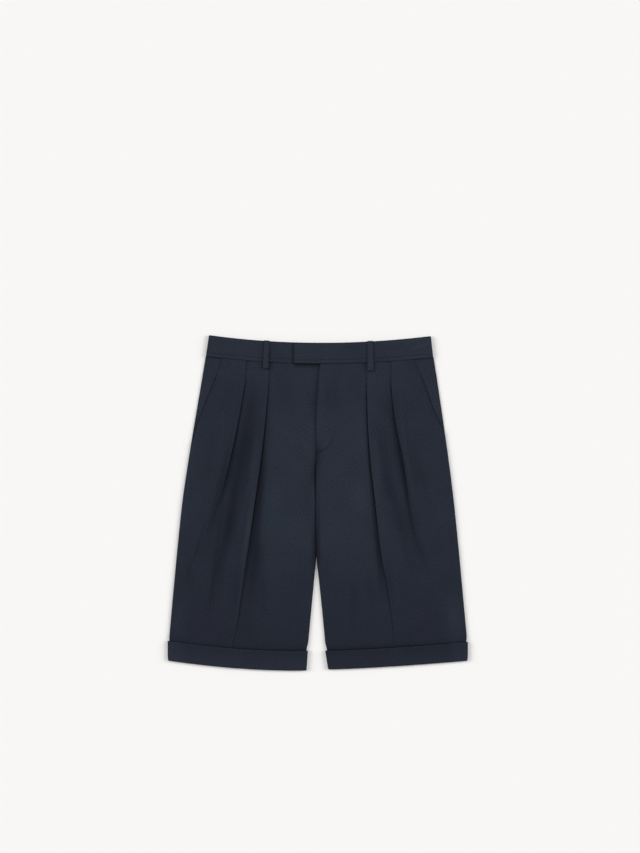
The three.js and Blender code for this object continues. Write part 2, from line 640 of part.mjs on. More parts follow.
// Half of the waistband: from centre front round the side to centre back
function waistband(leg) {
  const laps = leg.side === 'right';
  const bandLevel = (x) => {
    if (!laps) {
      const dip = smooth((x - BAND_DIP_START) / (BAND_DIP_END - BAND_DIP_START));
      return BAND_FRONT_LEVEL + (BAND_END_LEVEL - BAND_FRONT_LEVEL) * dip;
    }
    const down = smooth((x - TAB_FLAT_END) / (TAB_SLOPE_END - TAB_FLAT_END));
    return TAB_LEVEL + (BAND_FRONT_LEVEL - TAB_LEVEL) * down;
  };
  const flat = laps ? [TAB_END, TAB_FLAT_END] : [-BAND_UNDERLAP_END, -BAND_DIP_END];
  const slopeEnd = laps ? TAB_SLOPE_END : -BAND_DIP_START;
  const centreBack = leg.sign * (read(CENTRE, 'x', CENTRE_BACK_Y) + leg.sign * (SEAM_GAP / 2));
  const round = (BAND_FRONT_LEVEL - BAND_BACK_LEVEL) / 2;
  const grid = BAND_ROWS.map((down) => {
    const y = (x) => waistLine(BAND_TOP, x)
      + (waistLine(BAND_SEAM, x) - waistLine(BAND_TOP, x)) * down;
    const sideY = BAND_SIDE.top + (BAND_SIDE.bottom - BAND_SIDE.top) * down;
    const edge = read(SIDE, leg.side, sideY) - BAND_CLOTH / 2 + BAND_SPREAD * down;
    const section = [
      ...evenly(flat[0], flat[1], BAND_COLUMNS.tab),
      ...evenly(flat[1], slopeEnd, BAND_COLUMNS.slope).slice(1),
      ...between(slopeEnd, edge - round, BAND_COLUMNS.front),
    ].map((out) => new THREE.Vector2(out, bandLevel(leg.sign * out)));
    evenly(0, Math.PI, BAND_CAP_STEPS + 1).forEach((a) => {
      section.push(new THREE.Vector2(edge - round + round * Math.sin(a),
        BAND_BACK_LEVEL + round + round * Math.cos(a)));
    });
    [...between(edge - round, centreBack, BAND_COLUMNS.back), centreBack].forEach((out) => {
      section.push(new THREE.Vector2(out, BAND_BACK_LEVEL));
    });
    return section.map((p) => new THREE.Vector3(leg.sign * p.x, y(leg.sign * p.x), p.y));
  });
  return wall(`waistband_${leg.side}`, grid, BAND_CLOTH, BAND_MATERIAL);
}

// Belt loop: a strip over the band, turned over its top edge and sewn down below its seam
function beltLoop(leg) {
  const loop = LOOP[leg.side];
  const middle = leg.sign * loop.middle;
  const half = LOOP_CLOTH / 2;
  const { high } = pleatBends(leg, BAND_SEAM.low - loop.belowSeam, INNER_PLEAT[leg.side]);
  const onPleat = high + CLOTH / 2 + SEAM_GAP + half + LOOP_CLEAR;
  const onBand = BAND_FRONT_LEVEL + BAND_CLOTH / 2 + SEAM_GAP + half;
  const round = half + SEAM_GAP + LOOP_CLEAR;
  const path = (seam, top) => [
    { y: seam - loop.belowSeam, z: onPleat },
    { y: seam - LOOP_STEP, z: onPleat },
    { y: seam + LOOP_STEP, z: onBand },
    { y: (seam + top) / 2, z: onBand + LOOP_BOW },
    { y: top - LOOP_STEP, z: onBand },
    ...evenly(0, Math.PI / 2, 4).map((a) => ({
      y: top + round * Math.sin(a),
      z: onBand - round * (1 - Math.cos(a)),
    })),
    { y: top + round, z: onBand - round - LOOP_TAIL },
  ];
  const columns = LOOP_COLUMNS.map((share) => {
    const x = middle + share * loop.wide;
    const [seam, top] = [waistLine(BAND_SEAM, x), waistLine(BAND_TOP, x)];
    return path(seam, top).map((p) => {
      const lean = leg.sign * loop.slant * ((top - p.y) / (top - seam));
      return new THREE.Vector3(x + lean, p.y, p.z);
    });
  });
  const grid = columns[0].map((_, k) => columns.map((column) => column[k]));
  return wall(`belt_loop_${leg.side}`, grid, LOOP_CLOTH, BAND_MATERIAL);
}

const suiting = (color) => new THREE.MeshStandardMaterial({ color, roughness: 0.95, metalness: 0 });
const CLOTH_MATERIAL = suiting(0x2a2e39);
const BAND_MATERIAL = suiting(0x2c2f3a);
const TURN_UP_MATERIAL = suiting(0x242832);

const shorts = new THREE.Group();
Object.values(LEGS).forEach((leg) => {
  shorts.add(backPanel(leg), pocketFacing(leg), frontPanel(leg));
  shorts.add(turnUp(leg), waistband(leg), beltLoop(leg));
});

export default shorts;
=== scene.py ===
# %% [markdown]
# Tailored bermuda shorts, laid flat with the front up.
# They are navy suiting: two fronts with two forward pleats each, two plain backs, a facing behind each
# slanted pocket mouth, a waistband in two halves with a tab that laps at the fly, two belt loops and
# a turn-up round each hem. We build every piece as a thin wall of cloth that follows its own pattern
# lines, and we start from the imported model, which fixes where each piece lies.

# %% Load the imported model
import math

import bmesh
import bpy
import numpy as np
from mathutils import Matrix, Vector
from mathutils.bvhtree import BVHTree


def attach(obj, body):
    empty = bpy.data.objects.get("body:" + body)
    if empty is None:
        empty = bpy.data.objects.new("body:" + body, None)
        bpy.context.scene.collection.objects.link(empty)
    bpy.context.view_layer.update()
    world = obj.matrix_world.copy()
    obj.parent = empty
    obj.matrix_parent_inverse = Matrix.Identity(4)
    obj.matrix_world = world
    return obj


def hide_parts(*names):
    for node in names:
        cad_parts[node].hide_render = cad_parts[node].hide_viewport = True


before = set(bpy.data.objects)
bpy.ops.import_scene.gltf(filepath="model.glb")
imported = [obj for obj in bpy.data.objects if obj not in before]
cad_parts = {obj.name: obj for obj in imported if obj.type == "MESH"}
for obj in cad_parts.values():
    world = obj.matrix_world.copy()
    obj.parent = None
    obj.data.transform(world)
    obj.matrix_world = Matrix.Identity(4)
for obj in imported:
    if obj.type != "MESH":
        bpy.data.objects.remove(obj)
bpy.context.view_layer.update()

# %% [markdown]
# The photograph looks straight down, so the camera hangs above the shorts and looks along -Z.
# A long lens from three metres keeps the legs free of perspective. Sizes below are millimetres,
# as on a cutting table, and MM turns them into Blender's metres at the last moment.

# %% Camera
MM = 0.001
CAMERA_HIGH = 3000.0
CAMERA_X = 4.8
CAMERA_Y = 138.3
VIEW_TALL = 1552.5
SENSOR = 36.0


def put(name, data):
    """Makes an object of the data and puts it in the scene."""
    made = bpy.data.objects.new(name, data)
    bpy.context.collection.objects.link(made)
    return made


camera = put("camera", bpy.data.cameras.new("camera"))
camera.location = (CAMERA_X * MM, CAMERA_Y * MM, CAMERA_HIGH * MM)
camera.data.sensor_width = SENSOR
camera.data.lens = SENSOR * CAMERA_HIGH / VIEW_TALL
bpy.context.scene.camera = camera
print("lens:", round(camera.data.lens, 2), "mm")

# %% [markdown]
# Laid shorts are a stack of thin layers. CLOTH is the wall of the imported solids, and FINE_CLOTH is the
# thinner wall drawn here round the same middle surface. LAYER is the step from one layer to the next
# where they are pressed together. Each level is how high the middle of a wall lies above the table.

# %% Cloth and levels
CLOTH = 1.2
FINE_CLOTH = 0.8
BAND_CLOTH = 2.0
LOOP_CLOTH = 1.4
SEAM_GAP = 0.3
EDGE_GAP = 0.6
LAYER = 1.55
CURL_RADIUS = 0.8

BACK_LEVEL = CLOTH / 2
FRONT_LEVEL = 3.8
FACING_DROP = 1.6
FACING_LEVEL = FRONT_LEVEL - FACING_DROP
LOWEST_FRONT = 2.2
BAND_BACK_LEVEL = BAND_CLOTH / 2
BAND_FRONT_LEVEL = 4.9
BAND_END_LEVEL = 4.3
TAB_CLEAR = 0.35
TAB_LEVEL = BAND_END_LEVEL + BAND_CLOTH + TAB_CLEAR

BODY_PUFF = 3.8
EDGE_RISE = 38
WAIST_RISE = 60
HEM_RISE = 50

SIGN = {"left": -1, "right": 1}
print("one wall:", FINE_CLOTH, "mm, single front layer at", FRONT_LEVEL, "mm")

# %% [markdown]
# A pattern cutter works from a few lines: side seams, centre seam, inseams, pocket mouths and
# pleats. Each table below is one such line, with a height above the middle of the shorts (y) and
# distances out from the centre line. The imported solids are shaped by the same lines, so the fine
# cloth lands on them to within two or three millimetres.

# %% Pattern lines
WAIST_MIDDLE_X = 6
WAIST_HALF = 203
BAND_TOP = {"low": 289.6, "left": 14.0, "right": 12.6}
BAND_SEAM = {"low": 253.2, "left": 12.6, "right": 11.2}
HEM = {
    "left": {"low_at": 45, "low": -305.6, "rise": 18.1, "power": 1.8},
    "right": {"low_at": 19, "low": -303.4, "rise": 15.6, "power": 1.39},
}
HEM_REACH = 271
LEG_MIDDLE = 120
TURN_UP_DEEP = {"left": 35.5, "right": 33.8}
TURN_UP_REACH = {"left": 272.4, "right": 273.9}
TURN_UP_TAPER = (0.75, 0.25, 0.8)
TURN_UP_CLEAR = 0.15
LIP = 8
TURN_UP_INNER = {"left": (17.0, 19.4), "right": (14.0, 19.4)}

SIDE = {
    "y": [303.0, 268.5, 223.0, 150.2, 77.4, 4.6, -68.3, -141.1, -213.9, -246.0, -254.0, -300.0],
    "left": [197.2, 202.4, 209.7, 222.1, 234.1, 244.8, 252.7, 259.7, 266.3, 269.0, 268.4, 268.1],
    "right": [206.5, 210.5, 217.4, 228.2, 238.5, 247.6, 255.1, 262.0, 268.7, 271.4, 270.1, 269.8],
}
CENTRE = {
    "y": [253.0, 232.0, 196.0, 150.0, 89.0, 41.0, -32.0, -101.0],
    "x": [4.5, 1.9, -0.5, -2.4, -2.8, -3.3, -3.0, -2.0],
}
INSEAM = {
    "y": [-14.0, -60.0, -101.0, -141.0, -213.9, -248.0, -256.0, -264.0, -300.0],
    "left": [-3.4, -3.0, -2.6, -6.3, -13.2, -16.4, -17.3, -19.6, -22.4],
    "right": [-2.8, -2.2, -1.2, 3.3, 10.8, 14.0, 14.9, 17.2, 22.4],
}
SLANT = {
    "y": [262.0, 235.0, 205.0, 175.0, 145.0, 126.0],
    "left": [172.4, 180.5, 192.6, 204.9, 216.6, 223.0],
    "right": [173.4, 185.0, 196.8, 207.8, 220.8, 229.3],
}
SLANT_BOTTOM = {"left": 126, "right": 140}
SLANT_BLEND = 18
FACING_TUCK = 10
print("side seams read at", len(SIDE["y"]), "heights")

# %% Fly, tab and belt loops
FLY_BOTTOM = 92
FLY_UNDERLAP = 8
UNDERLAP_ENDS = 68
LAP_FADES = 40
CROTCH = -14
FLY_FLAT = 6
CENTRE_REACH = 34
UNDER_FLY_DIP = -0.9
OVER_FLY_LIFT = 1.1
FLY_FULL = 130
TAB_END = -42.2
TAB_FLAT_END = 13
TAB_SLOPE_END = 34
BAND_UNDERLAP_END = 10
BAND_DIP_END = -47
BAND_DIP_START = -64
LOOPS = {
    "left": {"middle": 92, "wide": 8.7, "slant": 1.6, "below_seam": 12},
    "right": {"middle": 96, "wide": 9.7, "slant": 0.5, "below_seam": 15},
}
FLY_STITCH = [(-1.6, 89.6), (5.7, 92.5), (15.0, 97.9), (21.4, 103.6), (26.1, 112.1), (29.9, 124.7),
              (31.6, 140.3), (31.8, 172.0), (33.2, 205.0), (35.4, 232.0), (37.6, 252.0)]
print("fly from the waist to", FLY_BOTTOM, "mm above the middle")

# %% [markdown]
# A forward pleat is a fold whose edge points to the centre. "at" is that edge and "lap" the depth
# of cloth folded behind it. "turn" is how far the cloth turns at each bend: 180 degrees where the
# pleat is pressed flat under the waistband, less and less down the leg, where it opens and becomes
# a soft crease. "round" is the bends' radius, and "sink" how deep the pleat lies in its hollow.
# EDGE_LINE is the painted shadow under each pleat's edge; below zero, a painted highlight along the
# pressed edge instead.

# %% Pleats
INNER_PLEAT = {
    "left": {
        "y": [255, 213, 150, 78, 5, -68, -141, -214, -268, -300],
        "at": [88.5, 89.8, 95.0, 103.1, 113.5, 123.9, 135.4, 146.2, 155.3, 158],
        "lap": [17, 16, 13, 9, 5, 2.4, 2, 1.6, 0.9, 0.8],
        "turn": [180, 180, 180, 180, 176, 140, 85, 60, 38, 30],
        "round": [0.46, 0.5, 0.64, 0.88, 1.2, 1.4, 1.4, 1.1, 0.9, 0.8],
        "sink": [0, 0.8, 2, 3, 3.2, 3, 2.2, 1, 0, 0],
    },
    "right": {
        "y": [255, 213, 150, 78, 5, -68, -112, -141, -214, -268, -300],
        "at": [91.3, 90.7, 92.0, 96.7, 105.0, 112.8, 119.8, 125.9, 136.4, 140.5, 142],
        "lap": [17, 16, 13, 9, 5, 2.4, 2.1, 1.9, 1.2, 0.7, 0.7],
        "turn": [180, 180, 180, 180, 174, 130, 92, 70, 36, 18, 15],
        "round": [0.46, 0.5, 0.64, 0.88, 1.2, 1.4, 1.4, 1.4, 1.1, 0.9, 0.8],
        "sink": [0, 0.8, 2, 3, 3.2, 3, 2.6, 2.1, 1, 0, 0],
    },
}
OUTER_PLEAT = {
    "left": {
        "y": [255, 213, 150, 78, 5, -50, -105, -150, -300],
        "at": [130.2, 133.1, 143.9, 159.1, 179, 200, 219, 228, 236],
        "lap": [14, 13, 9, 5, 2.4, 1.6, 1, 0.7, 0.7],
        "turn": [180, 180, 180, 150, 60, 30, 20, 12, 10],
        "round": [0.46, 0.5, 0.64, 0.88, 1.8, 1.8, 1.4, 1.3, 0.8],
        "sink": [0, 0.8, 1.8, 2.4, 2.2, 1.6, 0.9, 0.4, 0],
    },
    "right": {
        "y": [255, 213, 150, 78, 5, -68, -105, -150, -300],
        "at": [134.6, 134.9, 141.7, 156, 167.4, 180, 193, 206, 222],
        "lap": [14, 13, 9, 5, 2.6, 1.8, 1.2, 0.7, 0.7],
        "turn": [180, 180, 176, 140, 85, 36, 22, 12, 10],
        "round": [0.46, 0.5, 0.64, 0.88, 1.2, 1.4, 1.4, 1.3, 0.8],
        "sink": [0, 0.8, 1.8, 2.4, 2.2, 1.4, 0.9, 0.4, 0],
    },
}
PLEATS = (INNER_PLEAT, OUTER_PLEAT)
EDGE_LINE_Y = [255, 226, 214, 190, 150, 80, 5, -50, -90, -125, -215, -300]
EDGE_LINE = {
    "left": {
        "y": EDGE_LINE_Y,
        "inner": [-0.45, -0.4, 0.5, 1.0, 1.5, 2.5, 2.4, 2.1, 1.0, 0.45, 0.3, 0],
        "outer": [-0.4, -0.35, 0.6, 1.0, 1.3, 1.3, 0.0, 0, 0, 0, 0, 0],
    },
    "right": {
        "y": EDGE_LINE_Y,
        "inner": [-0.5, -0.45, 0.7, 1.4, 1.6, 1.9, 2.2, 1.5, 0.9, 0.45, 0.3, 0],
        "outer": [-0.4, -0.35, 0.7, 1.0, 0.9, 0.7, 0.1, 0, 0, 0, 0, 0],
    },
}
SHARE_BELOW = 0.55
RAMP_IN = 24
RAMP_OUT = 28
RAMP_ROOM = 0.8
PLEAT_MARGIN = 1.2
print("pleats:", sum(len(p) for p in PLEATS))

# %% [markdown]
# Cloth that has been worn, pressed and laid down is never a plane. Each row here is one soft trough (high
# below zero) or ridge: where it starts and ends, where its middle is, how wide and how high it is. They
# are placed one by one, uneven as on the real shorts. The second table holds finer ones that only this
# dressed model has.

# %% Soft folds
FOLD_COLUMNS = ("top", "top_at", "middle_at", "bottom", "bottom_at", "wide", "high")
SOFT_FOLDS = {
    "left": [
        (226, 118, 136, 20, 150, 13, -1.9),
        (40, 146, 178, -225, 204, 17, -2.7),
        (-70, 110, 96, -240, 118, 24, -2.2),
        (60, 205, 216, -150, 206, 20, 1.5),
        (190, 52, 58, -30, 72, 26, 1.2),
    ],
    "right": [
        (200, 104, 117, -90, 164, 14, -2.4),
        (165, 156, 166, 55, 178, 12, -1.5),
        (-20, 92, 104, -215, 112, 22, -2.0),
        (90, 206, 214, -140, 200, 20, 1.4),
        (180, 50, 58, -40, 66, 24, 1.2),
    ],
}
FINE_FOLDS = {
    "left": [
        (236, 150, 156, 90, 176, 9, -0.35),
        (120, 118, 124, -60, 139, 7, -0.3),
        (150, 24, 27, 20, 38, 11, -0.3),
        (10, 40, 44, -170, 52, 15, 0.4),
        (-90, 66, 62, -230, 74, 13, -0.3),
        (-60, 160, 168, -215, 176, 10, 0.4),
        (-130, 222, 230, -235, 226, 11, -0.3),
    ],
    "right": [
        (238, 152, 158, 120, 168, 8, -0.35),
        (140, 110, 118, -20, 140, 7, 0.35),
        (170, 60, 62, 60, 70, 12, -0.25),
        (60, 66, 70, -120, 84, 15, -0.35),
        (-80, 34, 40, -225, 50, 14, 0.35),
        (-60, 146, 156, -220, 166, 11, -0.35),
        (-100, 226, 232, -230, 236, 10, 0.3),
    ],
}
print("soft folds:", sum(len(f) for t in (SOFT_FOLDS, FINE_FOLDS) for f in t.values()))

# %% [markdown]
# These strokes paint light and shade on the cloth: painted shade in the hollows and beside the folds,
# painted highlights on the crests. They are drawn like the folds, and the last column is how much darker
# (or, below zero, lighter) the cloth is painted in the middle of the stroke.

# %% Shade strokes
SHADE_STROKES = {
    "left": [
        (225, 108, 152, -215, 198, 10, 0.9),
        (260, 112, 124, 20, 143, 11, 0.35),
        (200, 104, 123, -40, 146, 7, 0.6),
        (90, 158, 164, 5, 168, 6, -0.15),
        (110, 97, 101, -40, 109, 4, 0.4),
        (-120, 96, 97, -215, 98, 5, 0.3),
        (10, 142, 152, -110, 158, 12, 0.35),
        (-100, 146, 148, -215, 150, 12, 0.3),
        (20, 172, 185, -225, 199, 3, 0.4),
        (-80, 236, 234, -170, 232, 6, 0.25),
        (40, 76, 76, -50, 74, 10, -0.3),
        (70, 14, 20, -50, 20, 12, 0.3),
        (-40, 6, 7, -125, 8, 6, 0.5),
        (228, 125, 146, -60, 188, 8, 0.45),
        (185, 140, 176, -125, 214, 8, 0.4),
        (110, 159, 172, -20, 188, 6, 0.3),
        (-30, 202, 218, -135, 238, 3, 0.45),
        (130, 147, 156, 0, 171, 4.5, -0.3),
        (10, 172, 188, -120, 198, 14, 0.2),
        (190, 89, 106, -215, 130, 8, 1.0),
        (-50, 104, 106, -150, 112, 8, 0.3),
        (-10, 100, 107, -215, 118, 11, 0.3),
        (60, 114, 131, -120, 148, 5, 0.35),
        (60, 111, 123.5, -130, 138, 3.5, -0.55),
        (-90, 132, 142, -268, 154, 1.6, -0.5),
        (255, 60, 60, 150, 64, 22, 0.22),
        (190, 184, 196, -20, 208, 14, 0.18),
        (0, 3, 3, -170, 5, 5, 0.9),
        (85, 5, 7, 25, 7, 5, 0.6),
        (285, 5, 5, 95, 3, 4, 0.3),
        (205, 8, 10, 140, 10, 7, 0.3),
        (300, 150, 160, 215, 165, 30, -0.3),
        (10, 196, 212, -250, 214, 30, 0.1),
        (-190, 130, 128, -262, 132, 16, 0.25),
        (230, 212, 232, -60, 250, 8, -0.3),
        (-180, 250, 252, -262, 252, 12, -0.3),
    ],
    "right": [
        (200, 120, 134, -140, 178, 9, 0.5),
        (230, 131, 153, -90, 182, 7, 0.35),
        (150, 139, 150, 0, 160, 4, -0.35),
        (140, 147, 163, -60, 188, 5, 0.2),
        (170, 158, 171, -20, 190, 5, 0.25),
        (20, 140, 165, -110, 184, 12, 0.25),
        (60, 122, 126, -50, 134, 8, 0.25),
        (215, 125, 131, 120, 142, 5, 0.3),
        (180, 104, 115, 0, 132, 7, 0.4),
        (-10, 170, 184, -150, 208, 11, 0.25),
        (200, 86, 99, -100, 116, 5, 0.4),
        (-50, 105, 112.5, -185, 121, 4.5, 0.65),
        (-90, 126, 130, -200, 138, 5, 0.3),
        (245, 34, 33, 160, 32, 7, 0.35),
        (180, 134, 142, 20, 150, 6, 0.35),
        (120, 174, 188, -20, 208, 7, 0.3),
        (-120, 68, 66, -240, 60, 8, 0.3),
        (60, 70, 72, -40, 62, 14, -0.3),
        (170, 78, 82, 80, 84, 8, -0.25),
        (0, 88, 92, -90, 96, 8, 0.25),
        (235, 91, 101, -40, 109, 4.5, -0.75),
        (-90, 124, 133, -255, 143, 1.6, -0.1),
        (215, 80, 82, -90, 86, 8, -0.15),
        (215, 147, 161, -40, 184, 4, -0.25),
        (310, 148, 150, 170, 162, 22, -0.3),
        (-160, 244, 250, -290, 254, 18, -0.45),
        (-100, 94, 96, -215, 100, 7, 0.15),
        (30, 2, 2, -170, 3, 3, 0.9),
        (245, 22, 20, 150, 17, 7, 0.25),
        (250, 66, 68, 180, 70, 14, 0.15),
    ],
}
print("shade strokes:", sum(len(f) for f in SHADE_STROKES.values()))

# %% [markdown]
# Now the tools that read those lines. `read` runs a smooth curve through a table's rows, the way a
# curved ruler runs through chalk marks. `row_y` lays rows across a leg, from the waistband seam
# (row 0) to the turn-up's lip (row 1), and `crossing` finds where a line meets such a row. `eased`
# is a change that comes in softly: where from, over what length, and by how much.

# %% Reading the lines
CROSSING_TRIES = 3


def smooth(v):
    s = np.clip(v, 0, 1)
    return s * s * (3 - 2 * s)


def eased(value, start, over, by=1):
    """0 up to the start, then softly up to its whole amount; a length below 0 runs downwards."""
    return by * smooth((value - start) / over)


def read(table, column, y):
    ys, vs = np.array(table["y"][::-1], float), np.array(table[column][::-1], float)
    slope = np.empty_like(vs)
    slope[1:-1] = (vs[2:] - vs[:-2]) / (ys[2:] - ys[:-2])
    slope[0] = (vs[1] - vs[0]) / (ys[1] - ys[0])
    slope[-1] = (vs[-1] - vs[-2]) / (ys[-1] - ys[-2])
    y = np.clip(y, ys[0], ys[-1])
    k = np.clip(np.searchsorted(ys, y, side="right") - 1, 0, len(ys) - 2)
    span = ys[k + 1] - ys[k]
    s = (y - ys[k]) / span
    return (
        (2 * s**3 - 3 * s**2 + 1) * vs[k]
        + (s**3 - 2 * s**2 + s) * span * slope[k]
        + (3 * s**2 - 2 * s**3) * vs[k + 1]
        + (s**3 - s**2) * span * slope[k + 1]
    )


def waist_line(line, x):
    rise = np.where(np.asarray(x) < WAIST_MIDDLE_X, line["left"], line["right"])
    return line["low"] + rise * ((np.asarray(x) - WAIST_MIDDLE_X) / WAIST_HALF) ** 2


def hem_line(side, out):
    arc = HEM[side]
    reach = np.abs(out - arc["low_at"]) / (HEM_REACH - arc["low_at"])
    return arc["low"] + arc["rise"] * reach ** arc["power"]


def row_y(side, out, row):
    top = waist_line(BAND_SEAM, SIGN[side] * out) - SEAM_GAP
    bottom = hem_line(side, out) + LIP + SEAM_GAP
    return top + (bottom - top) * row


def crossing(side, row, guide):
    out = guide(row_y(side, LEG_MIDDLE, row))
    for _ in range(CROSSING_TRIES):
        out = guide(row_y(side, out, row))
    return float(out), float(row_y(side, out, row))


print("side seam at mid height:", round(float(read(SIDE, "left", 0)), 1), "mm out")

# %% [markdown]
# The next functions say how high the cloth lies at any place. The back lies on the table and
# climbs over the turn-up's back wall. The front is one layer above it, a little fuller in the
# middle, with the soft folds added and the fly's overlap at the centre.

# %% Edges and levels
BACK_CLIMB = (3, 16)


def back_lift(side, out, y):
    top = hem_line(side, out) + TURN_UP_DEEP[side]
    return LAYER * (1 - eased(y - top, *BACK_CLIMB))


def inner_edge(side, y, laps):
    seam = read(CENTRE, "x", y)
    half = SEAM_GAP / 2
    if side == "right":
        return np.where(y > CROTCH, seam + half, read(INSEAM, "right", y))
    under = smooth((y - UNDERLAP_ENDS) / (FLY_BOTTOM - UNDERLAP_ENDS)) if laps else 0.0
    lapped = -(seam - half + under * (FLY_UNDERLAP + half))
    return np.where(y < CROTCH, -read(INSEAM, "left", y), lapped)


def front_outer_edge(side, y):
    seam = read(SIDE, side, y)
    free = smooth((y - SLANT_BOTTOM[side] + SLANT_BLEND) / SLANT_BLEND)
    slant = np.minimum(read(SLANT, side, y), seam)
    return seam + (slant - seam) * free


def fold_heights(folds, out, y):
    total = np.zeros_like(np.asarray(out, float) + np.asarray(y, float))
    for values in folds:
        f = dict(zip(FOLD_COLUMNS, values))
        s = np.clip((f["top"] - y) / (f["top"] - f["bottom"]), 0, 1)
        bow = 2 * f["middle_at"] - (f["top_at"] + f["bottom_at"]) / 2
        line = (1 - s) ** 2 * f["top_at"] + s * s * f["bottom_at"] + 2 * s * (1 - s) * bow
        total += f["high"] * np.sin(np.pi * s) * np.exp(-(((out - line) / f["wide"]) ** 2))
    return total


def front_level(side, out, y):
    inner, outer = inner_edge(side, y, False), front_outer_edge(side, y)
    fly_share = smooth((y - CROTCH) / (FLY_FULL - CROTCH))
    from_centre = np.maximum(smooth((out - inner) / EDGE_RISE), fly_share)
    from_side = smooth((outer - out) / EDGE_RISE)
    from_waist = smooth((waist_line(BAND_SEAM, SIGN[side] * out) - y) / WAIST_RISE)
    from_hem = smooth((y - hem_line(side, out) - TURN_UP_DEEP[side]) / HEM_RISE)
    folds = fold_heights(SOFT_FOLDS[side], out, y) + fold_heights(FINE_FOLDS[side], out, y)
    share = np.minimum(from_centre, from_side) * np.minimum(from_waist, from_hem)
    near_fly = 1 - smooth((out - inner - FLY_FLAT) / (CENTRE_REACH - FLY_FLAT))
    lap_left = smooth((y - CROTCH) / (LAP_FADES - CROTCH))
    lift = (UNDER_FLY_DIP if side == "left" else OVER_FLY_LIFT) * near_fly * lap_left
    return np.maximum(FRONT_LEVEL + share * (BODY_PUFF + folds), LOWEST_FRONT) + lift


print("front level at the thigh:", round(float(front_level("left", 60.0, 0.0)), 2), "mm")

# %% [markdown]
# The shade of the cloth is its painted light and shade, one number at each point: below 0 for a painted
# highlight, 1 for painted shade in deep navy, and more in a painted shadow. Where one edge lies on another
# there is a painted dark line, soft across the edge like a bell: EDGE_SHADOWS says how dark each is in its
# middle (below 0, how much lighter, as a painted highlight) and how wide. SHADE_CHANGES are the slow
# painted changes of light and shade: where each starts, over what length it comes in (below 0, downwards)
# and by how much. Their names are the places where they lie.

# %% Soft lines beside an edge
EDGE_SHADOWS = {
    "under the band": (0.5, 1.3),
    "under the tab": (1.2, 2.0),
    "below the tab": (0.95, 3.0),
    "above the turn-up": (1.4, 2.0),
    "near the turn-up": (0.5, 8.0),
    "top of the turn-up": (-0.5, 1.3),
    "beside a loop": (0.8, 1.3),
    "round a loop": (0.12, 7.0),
    "inside the pocket mouth": (0.85, 1.2),
    "behind the pocket mouth": (0.3, 5.0),
    "band stitching": (0.45, 1.1),
    "foot of the band": (0.35, 0.9),
    "top edge of the band": (0.7, 0.9),
    "roll of the band": (-0.25, 1.1),
}
UNDER_LOOP = {"dark": 1.6, "beside": 1.5, "below": 2.4}
SHADE_CHANGES = {
    "lower leg": (-50, -120, 0.48),
    "above the hem": (-180, -50, 0.12),
    "upper front": (130, 60, 0.14),
    "side": (100, 60, 0.3),
    "lower side": (-60, -100, 0.9),
    "tab's end": (-2, 3, 1),
    "tab's root": (6, -4, 1),
    "turn-up line": (120, 130, 0.3),
    "centre line's shift": (60, 40, 0.8),
    "mouth's tack": (236, -12, 1),
    "top of the facing": (200, 30, 0.2),
    "face of the turn-up": (0, 30, 0.37),
    "side of the turn-up": (232, 24, 0.35),
    "foot of the turn-up": (-2.2, 1.6, 0.15),
}


def fade(distance, wide):
    """1 at no distance, falling softly to 0 over the given width."""
    return np.exp(-((distance / wide) ** 2))


def shadow(name, distance):
    dark, wide = EDGE_SHADOWS[name]
    return dark * fade(distance, wide)


def change(name, value):
    return eased(value, *SHADE_CHANGES[name])


def loop_shadow(side, x, y):
    """Painted shadow on the cloth beside a belt loop and under its lower end."""
    loop = LOOPS[side]
    beside = np.maximum(np.abs(x - SIGN[side] * loop["middle"]) - loop["wide"] / 2, 0)
    below = np.maximum(waist_line(BAND_SEAM, x) - loop["below_seam"] - y, 0)
    beyond = np.hypot(beside, below)
    foot = UNDER_LOOP["dark"] * fade(beside, UNDER_LOOP["beside"]) * fade(below, UNDER_LOOP["below"])
    return shadow("beside a loop", beyond) + shadow("round a loop", beyond) + foot * (below > 0)


def smooth_path(points, step=1.0):
    p = np.array(points, float)
    t = np.concatenate([[0], np.cumsum(np.linalg.norm(p[1:] - p[:-1], axis=1))])
    dense = np.arange(0, t[-1] + step, step).clip(0, t[-1])
    columns = [read({"y": t[::-1], "v": p[::-1, k]}, "v", dense) for k in range(p.shape[1])]
    return np.stack(columns, 1)


fly_path = smooth_path(FLY_STITCH)


def along_fly(x, y, line):
    """Strength of a line along the fly's sewing, which grows towards its curved foot."""
    far = np.full(np.shape(x), np.inf)
    for px, py in fly_path:
        far = np.minimum(far, (x - px) ** 2 + (y - py) ** 2)
    return (line["top"] + eased(y, *line["foot"])) * fade(np.sqrt(far), line["wide"])


print("fly sewing:", len(fly_path), "mm long")

# %% [markdown]
# The shade of a front gathers the strokes, painted shade that darkens the lower legs and the sides, and
# painted shadows under the waistband and its tab, beside the belt loops, above the turn-up, down the
# centre seam and along the fly's sewing. CENTRE_SEAM_SHADOW gives the seam's painted dark core and the
# painted soft shadow that the lapping edge leaves to its right.

# %% Shade of the front
TAB_SHADOW_DEEP = 5
TURN_UP_LINE = {"left": 0.9, "right": 1.15}
# Painted shadow down the centre seam: its dark core and the soft shadow beside it.
CENTRE_SEAM_SHADOW = {
    "y": [215, 150, 118, 92, 75, 60, 0, -60, -100, -115],
    "core": [0.6, 0.6, 0.6, 0.7, 0.9, 1.7, 1.7, 2.0, 2.2, 0.5],
    "soft": [0.0, 0.0, 0.2, 0.9, 0.9, 0.5, 0.05, 0.2, 0.3, 0.0],
}
CORE_WIDE = 1.5
SOFT_WIDE = 9
SOFT_START = 1
# Painted shadow along the fly's sewing.
FLY_SEWING_SHADOW = {"top": 0.1, "foot": (130, -30, 1.2), "wide": 1.2}
